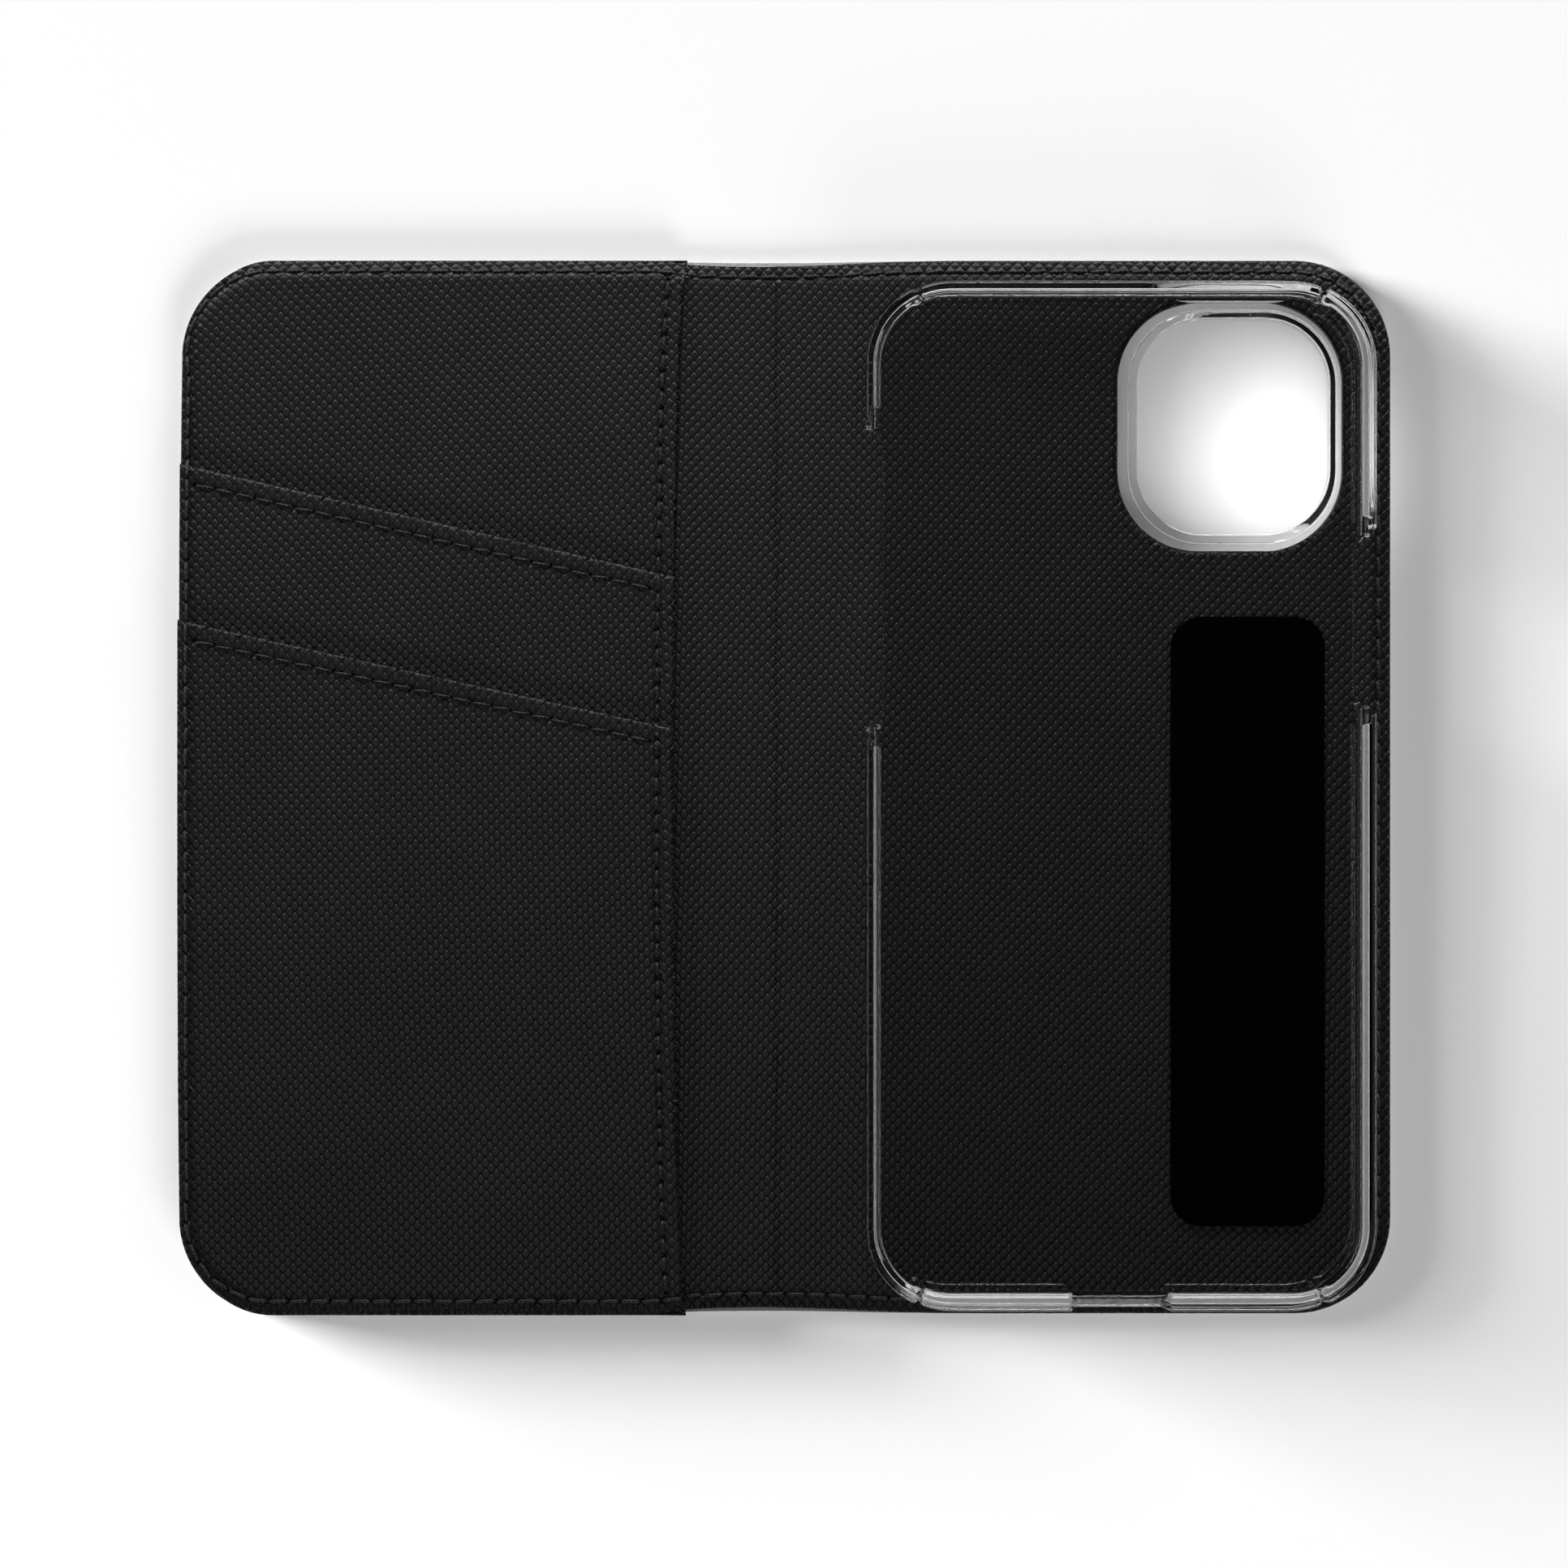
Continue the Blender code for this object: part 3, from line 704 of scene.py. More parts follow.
def cut_roll(outline, radius, depth, skip=None):
    """Rounding of a cut or folded edge: 0 at radius inside, depth at the edge."""
    line = np.array(outline, float)

    def f(p):
        d = poly_dist(p, line)
        t = np.clip(1 - d / radius, 0, 1)
        z = depth * (1 - np.sqrt(np.clip(1 - t * t, 0, 1)))
        if skip is not None:
            z = np.where(skip(p), 0.0, z)
        return z
    return f


# ----------------------------------------------------------- materials
def new_material(name):
    mat = bpy.data.materials.new(name)
    mat.use_nodes = True
    nt = mat.node_tree
    nt.nodes.clear()
    out = nt.nodes.new("ShaderNodeOutputMaterial")
    out.location = (900, 0)
    p = nt.nodes.new("ShaderNodeBsdfPrincipled")
    p.location = (600, 0)
    nt.links.new(p.outputs[0], out.inputs[0])
    return mat, nt, p


def coords_of(nt):
    n = nt.nodes.new("ShaderNodeTexCoord")
    n.location = (-1400, 0)
    return n.outputs["Object"]


def noise(nt, vec, scale, detail=3.0, rough=0.5, distortion=0.0):
    n = nt.nodes.new("ShaderNodeTexNoise")
    n.inputs["Scale"].default_value = scale
    n.inputs["Detail"].default_value = detail
    n.inputs["Roughness"].default_value = rough
    n.inputs["Distortion"].default_value = distortion
    nt.links.new(vec, n.inputs["Vector"])
    return n.outputs["Fac"]


def ramp(nt, fac, stops):
    n = nt.nodes.new("ShaderNodeValToRGB")
    els = n.color_ramp.elements
    while len(els) < len(stops):
        els.new(0.5)
    for el, (pos, col) in zip(els, stops):
        el.position = pos
        el.color = (*col, 1.0) if len(col) == 3 else col
    nt.links.new(fac, n.inputs["Fac"])
    return n.outputs["Color"]


def map_range(nt, value, a, b, c, d):
    n = nt.nodes.new("ShaderNodeMapRange")
    n.inputs["From Min"].default_value = a
    n.inputs["From Max"].default_value = b
    n.inputs["To Min"].default_value = c
    n.inputs["To Max"].default_value = d
    nt.links.new(value, n.inputs["Value"])
    return n.outputs["Result"]


def mix_rgb(nt, fac, a, b, blend="MIX"):
    n = nt.nodes.new("ShaderNodeMix")
    n.data_type = "RGBA"
    n.blend_type = blend
    for sock, val in ((n.inputs["Factor"], fac), (n.inputs[6], a), (n.inputs[7], b)):
        if hasattr(val, "is_output") or hasattr(val, "links"):
            nt.links.new(val, sock)
        elif isinstance(val, (int, float)):
            sock.default_value = val
        else:
            sock.default_value = (*val, 1.0)
    return n.outputs[2]


def math_node(nt, op, a, b=None):
    n = nt.nodes.new("ShaderNodeMath")
    n.operation = op
    for sock, val in zip(n.inputs, (a, b)):
        if val is None:
            continue
        if isinstance(val, (int, float)):
            sock.default_value = val
        else:
            nt.links.new(val, sock)
    return n.outputs[0]


def bump(nt, height, strength, distance, normal=None):
    n = nt.nodes.new("ShaderNodeBump")
    n.inputs["Strength"].default_value = strength
    n.inputs["Distance"].default_value = distance
    nt.links.new(height, n.inputs["Height"])
    if normal is not None:
        nt.links.new(normal, n.inputs["Normal"])
    return n.outputs["Normal"]


def attribute(nt, name):
    n = nt.nodes.new("ShaderNodeAttribute")
    n.attribute_name = name
    n.attribute_type = "GEOMETRY"
    return n.outputs["Fac"]


def black_leather(name, dark=(0.0038, 0.0038, 0.0041), light=(0.0080, 0.0080, 0.0083),
                  rough=(0.33, 0.43), specular=0.52):
    mat, nt, p = new_material(name)
    vec = coords_of(nt)
    pad = attribute(nt, "pad")
    tone = noise(nt, vec, 55.0, 4.0, 0.55)
    grain = noise(nt, vec, 2600.0, 3.0, 0.6)
    pores = nt.nodes.new("ShaderNodeTexVoronoi")
    pores.feature = "DISTANCE_TO_EDGE"
    pores.inputs["Scale"].default_value = 3900.0
    pores.inputs["Randomness"].default_value = 0.9
    nt.links.new(vec, pores.inputs["Vector"])
    base = ramp(nt, tone, [(0.3, dark), (0.7, light)])
    # painted shade: the colour goes nearly black in the pressed grooves, where the pad attribute falls to 0
    groove_painted_shade = mix_rgb(nt, pad, (0.0012, 0.0012, 0.0013), base)
    worn = map_range(nt, noise(nt, vec, 190.0, 5.0, 0.65), 0.58, 0.8, 0.0, 0.35)
    rub = math_node(nt, "MULTIPLY", worn, pad)
    colour = mix_rgb(nt, rub, groove_painted_shade, (0.019, 0.019, 0.0195))
    nt.links.new(colour, p.inputs["Base Color"])
    r = map_range(nt, noise(nt, vec, 420.0, 4.0, 0.6), 0.3, 0.7, rough[0], rough[1])
    r2 = math_node(nt, "ADD", r, map_range(nt, pad, 0.0, 0.8, 0.28, 0.0))
    nt.links.new(r2, p.inputs["Roughness"])
    p.inputs["Specular IOR Level"].default_value = specular
    b = bump(nt, grain, 0.22, 0.00006)
    b = bump(nt, pores.outputs["Distance"], 0.25, 0.00004, b)
    nt.links.new(b, p.inputs["Normal"])
    return mat


def white_leather(name):
    mat, nt, p = new_material(name)
    vec = coords_of(nt)
    tone = noise(nt, vec, 60.0, 4.0, 0.55)
    colour = ramp(nt, tone, [(0.3, (0.70, 0.69, 0.665)), (0.7, (0.80, 0.79, 0.765))])
    cells = nt.nodes.new("ShaderNodeTexVoronoi")
    cells.feature = "DISTANCE_TO_EDGE"
    cells.inputs["Scale"].default_value = 1300.0
    nt.links.new(vec, cells.inputs["Vector"])
    crack = map_range(nt, cells.outputs["Distance"], 0.0, 0.12, 0.0, 1.0)
    colour = mix_rgb(nt, math_node(nt, "MULTIPLY", math_node(nt, "SUBTRACT", 1.0, crack), 0.25),
                     colour, (0.52, 0.50, 0.47))
    nt.links.new(colour, p.inputs["Base Color"])
    nt.links.new(map_range(nt, noise(nt, vec, 300.0, 3.0, 0.6), 0.3, 0.7, 0.42, 0.58),
                 p.inputs["Roughness"])
    p.inputs["Specular IOR Level"].default_value = 0.4
    b = bump(nt, crack, 0.5, 0.00007)
    b = bump(nt, noise(nt, vec, 4200.0, 2.0, 0.5), 0.2, 0.00004, b)
    nt.links.new(b, p.inputs["Normal"])
    return mat


def thread_material(name, dark, light, sheen):
    mat, nt, p = new_material(name)
    vec = coords_of(nt)
    twist = attribute(nt, "twist")
    strand = math_node(nt, "SINE", math_node(nt, "MULTIPLY", twist, math.tau))
    strand = map_range(nt, strand, -1.0, 1.0, 0.0, 1.0)
    fuzz = noise(nt, vec, 6000.0, 3.0, 0.6)
    # painted shade and highlight: the thread is coloured darker in the valleys between the plies and lighter on their
    # crests, following the bump's twist
    colour = mix_rgb(nt, strand, dark, light)
    nt.links.new(colour, p.inputs["Base Color"])
    nt.links.new(map_range(nt, fuzz, 0.3, 0.7, 0.28, 0.45), p.inputs["Roughness"])
    p.inputs["Specular IOR Level"].default_value = 0.5
    p.inputs["Sheen Weight"].default_value = sheen
    p.inputs["Sheen Roughness"].default_value = 0.4
    b = bump(nt, strand, 0.7, 0.00007)
    b = bump(nt, fuzz, 0.25, 0.00003, b)
    nt.links.new(b, p.inputs["Normal"])
    return mat


def clear_material(name):
    mat, nt, p = new_material(name)
    vec = coords_of(nt)
    p.inputs["Base Color"].default_value = (0.855, 0.857, 0.86, 1.0)
    p.inputs["Transmission Weight"].default_value = 1.0
    p.inputs["IOR"].default_value = 1.52
    p.inputs["Roughness"].default_value = 0.0
    b = bump(nt, noise(nt, vec, 90.0, 2.0, 0.5), 0.1, 0.0002)
    nt.links.new(b, p.inputs["Normal"])
    clear = nt.nodes.new("ShaderNodeBsdfTransparent")
    clear.inputs[0].default_value = (0.84, 0.842, 0.845, 1.0)
    path = nt.nodes.new("ShaderNodeLightPath")
    fac = math_node(nt, "MAXIMUM", path.outputs["Is Shadow Ray"], path.outputs["Is Diffuse Ray"])
    soft = math_node(nt, "SUBTRACT", path.outputs["Is Glossy Ray"], path.outputs["Is Singular Ray"])
    fac = math_node(nt, "MAXIMUM", fac, soft)
    mix = nt.nodes.new("ShaderNodeMixShader")
    out = next(n for n in nt.nodes if n.type == "OUTPUT_MATERIAL")
    nt.links.new(fac, mix.inputs[0])
    nt.links.new(p.outputs[0], mix.inputs[1])
    nt.links.new(clear.outputs[0], mix.inputs[2])
    nt.links.new(mix.outputs[0], out.inputs[0])
    return mat


def foam_material(name):
    mat, nt, p = new_material(name)
    vec = coords_of(nt)
    nt.links.new(ramp(nt, noise(nt, vec, 900.0, 4.0, 0.6),
                      [(0.3, (0.0003, 0.0003, 0.0003)), (0.75, (0.0008, 0.0008, 0.0008))]),
                 p.inputs["Base Color"])
    p.inputs["Roughness"].default_value = 0.95
    p.inputs["Specular IOR Level"].default_value = 0.05
    nt.links.new(bump(nt, noise(nt, vec, 2500.0, 3.0, 0.6), 0.4, 0.00006), p.inputs["Normal"])
    return mat


def board_material(name):
    mat, nt, p = new_material(name)
    vec = coords_of(nt)
    fibre = noise(nt, vec, 900.0, 6.0, 0.7, 0.4)
    nt.links.new(ramp(nt, fibre, [(0.3, (0.26, 0.24, 0.21)), (0.7, (0.42, 0.40, 0.36))]),
                 p.inputs["Base Color"])
    p.inputs["Roughness"].default_value = 0.9
    nt.links.new(bump(nt, fibre, 0.4, 0.00008), p.inputs["Normal"])
    return mat


M_BASE = black_leather("leather_card_base")
M_UP = black_leather("leather_card_upper")
M_LOW = black_leather("leather_card_lower")
M_LINE = black_leather("leather_lining")
M_SKIN = white_leather("leather_outer_skin")
# each thread's two colours are the painted shade in the ply valleys and the painted highlight on the ply crests
M_THREAD = thread_material("thread_black", (0.008, 0.008, 0.0085), (0.04, 0.04, 0.041), 0.25)
M_THREAD_OUT = thread_material("thread_white", (0.52, 0.51, 0.48), (0.72, 0.71, 0.68), 0.1)
M_CLEAR = clear_material("clear_polycarbonate")
M_FOAM = foam_material("adhesive_foam")
M_BOARD = board_material("grey_board")


def dress(ob, mat):
    ob.data.materials.clear()
    ob.data.materials.append(mat)


# ----------------------------------------------------------- leather pieces
# faint difference in how each cut piece was laid on the pressed hide
grid_line = Grid(45 - 3.2, -45 - 0.2, seed=11)
grid_base = Grid(45 + 4.2, -45 + 3.6, seed=12)
grid_up = Grid(45 + 3.6, -45 + 3.2, seed=13)
grid_low = Grid(45 + 2.2, -45 + 2.0, seed=14)

rim_r, rim_l = np.array(LINE_R), np.array(LINE_L)


def near_mid(p):
    return np.abs(p[:, 0] - XM) < 1e-3


def lining_roll(p):
    d = poly_dist(p, CASE)
    z = 0.22 * (1 - np.sqrt(np.clip(1 - np.clip(1 - d / 0.4, 0, 1) ** 2, 0, 1)))
    dh = poly_dist(p, CAM_LINE)
    z += 0.75 * (1 - np.sqrt(np.clip(1 - np.clip(1 - dh / 0.9, 0, 1) ** 2, 0, 1)))
    return z + channel(p, PERIM, 0.12, 0.5, True)


def lining_mask(p):
    return np.clip(poly_dist(p, CAM_LINE) / 0.9, 0.15, 1) * (1 - 0.35 * np.exp(-(poly_dist(p, PERIM, True) / 0.8) ** 2))


def lining_under(p):
    z = lining_level(p) - 0.66
    return np.maximum(z, 0.86)


holes_r = P_HOLES[P_HOLES[:, 0] > XM]
holes_l = P_HOLES[P_HOLES[:, 0] <= XM]
lining_r = build_sheet("lining_back_and_spine", LINE_R, lining_level, 0.66, grid_line,
                       holes=holes_r, hole_loops=[CAM_LINE], roll=lining_roll, crease=True,
                       underside=lambda p: np.where(
                           (poly_dist(p, CAM_LINE) < 0.3) | (poly_dist(p, LINE_R) < 0.2) & (p[:, 0] > XM + 0.01),
                           0.84, lining_under(p)),
                       emboss_mask=lining_mask, paths=[PERIM], seed=5)
dress(lining_r, M_LINE)

strip = [(-22.0, -HY - 1), (XM + 1, -HY - 1), (XM + 1, HY + 1), (-22.0, HY + 1)]
strip_cut = [p for p in LINE_L]
lining_l = build_sheet("lining_front_and_spine", LINE_L, lining_level, 0.66, grid_line,
                       emboss_region=[(-19.0, -HY - 0.5), (XM + 0.02, -HY - 0.5), (XM + 0.02, HY + 0.5),
                                      (-19.0, HY + 0.5)],
                       holes=holes_l[holes_l[:, 0] > -19.5], roll=lining_roll, crease=True,
                       underside=lambda p: np.where(
                           (poly_dist(p, LINE_L) < 0.2) & (p[:, 0] < XM - 0.01), 0.84, lining_under(p)),
                       emboss_mask=lining_mask, paths=[PERIM], seed=5)
dress(lining_l, M_LINE)


def fold_roll(line, radius, depth):
    line = np.array(line, float)

    def f(p):
        d = poly_dist(p, line, False)
        t = np.clip(1 - d / radius, 0, 1)
        return depth * (1 - np.sqrt(np.clip(1 - t * t, 0, 1)))
    return f


def panel_roll(mouth):
    edge_top = HY if mouth is None else float(mouth_y(mouth, EDGE_MID))
    free = [(float(pocket_edge(y)), float(y)) for y in np.linspace(-HY, edge_top, 50)]
    free_roll = fold_roll(free, 0.42, 0.34)
    lip = None
    if mouth is not None:
        lip_line = [(float(x), float(mouth_y(mouth, x))) for x in np.linspace(-HX - 1, EDGE_MID + 1, 12)]
        lip = fold_roll(lip_line, 0.8, 0.52)

    def f(p):
        z = free_roll(p)
        if lip is not None:
            z = np.maximum(z, lip(p))
        d = poly_dist(p, CASE)
        z = np.maximum(z, 0.2 * (1 - np.sqrt(np.clip(1 - np.clip(1 - d / 0.35, 0, 1) ** 2, 0, 1))))
        z += channel(p, PERIM, 0.14, 0.5, True)
        z += channel(p, hem_path, 0.14, 0.45)
        for key, m in (("upper", UPPER_MOUTH), ("lower", LOWER_MOUTH)):
            if mouth is m:
                z += channel(p, mouth_paths[key], 0.16, 0.45)
        return z
    return f


def panel_mask(mouth):
    def f(p):
        e = pocket_edge(p[:, 1]) - p[:, 0]
        m = 0.6 + 0.4 * smooth((e - 0.3) / 0.5)
        m *= 1 - 0.4 * np.exp(-(poly_dist(p, hem_path, False) / 0.6) ** 2)
        m *= 1 - 0.35 * np.exp(-(poly_dist(p, PERIM, True) / 0.8) ** 2)
        if mouth is not None:
            dm = mouth_y(mouth, p[:, 0]) - p[:, 1]
            m *= 0.25 + 0.6 * smooth((dm - 0.25) / 0.6) + 0.15 * smooth((dm - 2.6) / 1.0)
            key = "upper" if mouth is UPPER_MOUTH else "lower"
            m *= 1 - 0.4 * np.exp(-(poly_dist(p, mouth_paths[key], False) / 0.6) ** 2)
        return m
    return f


def below_line(mouth, by, x0=-HX - 1, x1=-13.0):
    """A region above a line that lies `by` below the given mouth."""
    return [(x0, float(mouth_y(mouth, x0)) - by), (x1, float(mouth_y(mouth, x1)) - by),
            (x1, HY + 1), (x0, HY + 1)]


def on_top(holes, upper=None, lower=None):
    """Holes of the region between two mouths."""
    keep = np.ones(len(holes), bool)
    if upper is not None:
        keep &= holes[:, 1] > mouth_y(upper, holes[:, 0]) + 0.2
    if lower is not None:
        keep &= holes[:, 1] <= mouth_y(lower, holes[:, 0]) + 0.2
    return holes[keep]


fringe = P_HOLES[P_HOLES[:, 0] < -14.6]
base_holes = on_top(np.vstack([fringe, H_H]), upper=UPPER_MOUTH)
upper_holes = np.vstack([on_top(np.vstack([fringe, H_H]), upper=LOWER_MOUTH, lower=UPPER_MOUTH), MU_H])
lower_holes = np.vstack([on_top(np.vstack([fringe, H_H]), lower=LOWER_MOUTH), ML_H])

base = build_sheet("card_base_leather", panel_outline(None, 0.12, 0.2), level_base, 0.62, grid_base,
                   emboss_region=below_line(UPPER_MOUTH, 1.5), holes=base_holes, roll=panel_roll(None),
                   emboss_mask=panel_mask(None), paths=[PERIM, hem_path], seed=21, unevenness=0.025)
dress(base, M_BASE)
upper = build_sheet("card_pocket_upper_leather", panel_outline(UPPER_MOUTH, 0.06, 0.1, 0.06), level_upper,
                    0.6, grid_up, emboss_region=below_line(LOWER_MOUTH, 1.5), holes=upper_holes,
                    roll=panel_roll(UPPER_MOUTH), emboss_mask=panel_mask(UPPER_MOUTH),
                    paths=[PERIM, hem_path, mouth_paths["upper"]], seed=22, unevenness=0.025)
dress(upper, M_UP)
lower = build_sheet("card_pocket_lower_leather", panel_outline(LOWER_MOUTH, 0.0, 0.0, 0.12), level_lower,
                    0.6, grid_low, holes=lower_holes, roll=panel_roll(LOWER_MOUTH),
                    emboss_mask=panel_mask(LOWER_MOUTH),
                    paths=[PERIM, hem_path, mouth_paths["lower"]], seed=23, unevenness=0.03)
dress(lower, M_LOW)


# ----------------------------------------------------------- outer skin
def skin_top(p):
    return np.full(len(p), 0.8)


def skin_under(p):
    """The side that lies on the table: flat, sunk a little along the seam and
    scored at the creases."""
    z = channel(p, PERIM, 0.34, 0.55, True)
    for xc in (X1, X2):
        z += 0.18 * np.exp(-((p[:, 0] - xc) / 0.7) ** 2)
    d = poly_dist(p, closed_skin)
    t = np.clip(1 - d / 0.4, 0, 1)
    return z + 0.3 * (1 - np.sqrt(np.clip(1 - t * t, 0, 1)))


closed_skin = closed_case(0.0, 0.32)


def flip_build(name, outline, seed):
    """The skin is built upside down by the same routine, its fine side the
    one that faces the table, and then mirrored in height."""
    ob = build_sheet(name, outline, lambda p: 10 - skin_under(p), 0.0, None,
                     hole_loops=[CAM_EDGE] if outline is SKIN_R else [],
                     holes=(P_HOLES[P_HOLES[:, 0] > XM] if outline is SKIN_R else P_HOLES[P_HOLES[:, 0] <= XM]),
                     roll=lambda p: np.zeros(len(p)), crease=True, spacing=2.5,
                     underside=lambda p: np.full(len(p), 10 - 0.8), paths=[PERIM], seed=seed,
                     unevenness=0.0)
    co = np.empty(len(ob.data.vertices) * 3)
    ob.data.vertices.foreach_get("co", co)
    co = co.reshape(-1, 3)
    co[:, 2] = np.maximum(0.010 - co[:, 2], 0.0)
    co[:, 2] = np.minimum(co[:, 2], 0.00079)
    ob.data.vertices.foreach_set("co", co.ravel())
    ob.data.flip_normals()
    ob.data.update()
    return ob


skin_r = flip_build("outer_skin_back_and_spine", SKIN_R, 31)
skin_l = flip_build("outer_skin_front_and_spine", SKIN_L, 32)
for ob in (skin_r, skin_l):
    dress(ob, M_SKIN)


# ----------------------------------------------------------- stitching
def surface_front(p):
    """Top surface at seam points of the front cover, whichever layer shows."""
    z = level_lower(p)
    up = p[:, 1] > mouth_y(LOWER_MOUTH, p[:, 0])
    z = np.where(up, level_upper(p), z)
    up2 = p[:, 1] > mouth_y(UPPER_MOUTH, p[:, 0])
    z = np.where(up2, level_base(p), z)
    free = p[:, 0] > pocket_edge(p[:, 1]) - 0.1
    return np.where(free, lining_level(p), z)


def surface_all(p):
    z = lining_level(p)
    return np.where(p[:, 0] < -13.0, surface_front(p), z)


def stitch_mesh(name, a, b, za, zb, mat, seed, radius=0.21, down=False, sides=8):
    """Single stitches: each rises from its hole, lies on the leather with a
    slight arch, and dives into the next hole."""
    g = np.random.default_rng(seed)
    # along the stitch: share of its length, height over the leather, thickness
    prof = [(-0.045, -0.36, 0.75), (0.01, -0.12, 0.95), (0.09, 0.14, 1.0), (0.25, 0.25, 1.05),
            (0.5, 0.28, 1.08), (0.75, 0.25, 1.05), (0.91, 0.14, 1.0), (0.99, -0.12, 0.95),
            (1.045, -0.36, 0.75)]
    verts, faces, twist = [], [], []
    ang = np.arange(sides) * math.tau / sides
    for p0, p1, z0, z1 in zip(a, b, za, zb):
        d = p1 - p0
        length = float(np.linalg.norm(d))
        d = d / length
        n = np.array([-d[1], d[0]])
        yaw = g.normal(0, 0.035) + 0.05
        lift = g.normal(0, 0.02)
        side = g.normal(0, 0.03)
        r = radius * (1 + g.normal(0, 0.04))
        k = len(verts)
        for i, (t, h, w) in enumerate(prof):
            off = (t - 0.5) * length * yaw + side * math.sin(math.pi * min(max(t, 0), 1))
            c = p0 + d * (t * length) + n * off
            hz = (h + (lift if 0.05 < t < 0.95 else 0.0))
            z = z0 + (z1 - z0) * min(max(t, 0), 1) + (hz if not down else -hz)
            t0, t1 = prof[max(i - 1, 0)], prof[min(i + 1, len(prof) - 1)]
            dz = (t1[1] - t0[1]) * (1 if not down else -1)
            dl = (t1[0] - t0[0]) * length
            tx = np.array([d[0] * dl, d[1] * dl, dz])
            tx /= np.linalg.norm(tx)
            u = np.array([n[0], n[1], 0.0])
            v = np.cross(tx, u)
            ring = np.array([c[0], c[1], z]) + r * w * (np.cos(ang)[:, None] * u + 0.82 * np.sin(ang)[:, None] * v)
            verts.extend(ring)
            twist.extend(t * length / 0.62 + ang / math.tau * 2)
        for i in range(len(prof) - 1):
            for s in range(sides):
                q = k + i * sides
                faces.append((q + s, q + (s + 1) % sides, q + sides + (s + 1) % sides, q + sides + s))
        faces.append(tuple(k + s for s in range(sides))[::-1])
        q = k + (len(prof) - 1) * sides
        faces.append(tuple(q + s for s in range(sides)))
    mesh = bpy.data.meshes.new(name)
    mesh.from_pydata([tuple(np.array(v) * MM) for v in verts], [], faces)
    attr = mesh.attributes.new("twist", "FLOAT", "POINT")
    attr.data.foreach_set("value", np.array(twist, np.float32))
    mesh.shade_smooth()
    bm = bmesh.new()
    bm.from_mesh(mesh)
    bmesh.ops.recalc_face_normals(bm, faces=bm.faces)
    bm.to_mesh(mesh)
    bm.free()
    ob = bpy.data.objects.new(name, mesh)
    bpy.context.scene.collection.objects.link(ob)
    dress(ob, mat)
    return ob


def seam_drop(p):
    return channel(p, PERIM, 0.13, 0.5, True)


mid_x = (P_A[:, 0] + P_B[:, 0]) / 2
right = mid_x > XM
za, zb = surface_all(P_A) - 0.13, surface_all(P_B) - 0.13
seam_r = stitch_mesh("stitches_perimeter_back", P_A[right], P_B[right], za[right], zb[right], M_THREAD, 41)
seam_l = stitch_mesh("stitches_perimeter_front", P_A[~right], P_B[~right], za[~right], zb[~right], M_THREAD, 42)
seam_up = stitch_mesh("stitches_slot_upper", MU_A, MU_B, level_upper(MU_A) - 0.15, level_upper(MU_B) - 0.15,
                      M_THREAD, 43)
seam_low = stitch_mesh("stitches_slot_lower", ML_A, ML_B, level_lower(ML_A) - 0.15, level_lower(ML_B) - 0.15,
                       M_THREAD, 44)
seam_hem = stitch_mesh("stitches_pocket_hem", H_A, H_B, surface_front(H_A) - 0.13, surface_front(H_B) - 0.13,
                       M_THREAD, 45)
# the bobbin side, sunk into the outer skin
out_a, out_b = P_A, P_B
zero = np.full(len(P_A), 0.235)
under_r = stitch_mesh("stitches_outside_back", out_a[right], out_b[right], zero[right], zero[right],
                      M_THREAD_OUT, 46, radius=0.17, down=True)
under_l = stitch_mesh("stitches_outside_front", out_a[~right], out_b[~right], zero[~right], zero[~right],
                      M_THREAD_OUT, 47, radius=0.17, down=True)
for ob in (under_r, under_l):
    co = np.empty(len(ob.data.vertices) * 3)
    ob.data.vertices.foreach_get("co", co)
    co = co.reshape(-1, 3)
    co[:, 2] = np.clip(co[:, 2], 0.00002, 0.00075)
    ob.data.vertices.foreach_set("co", co.ravel())
    ob.data.update()


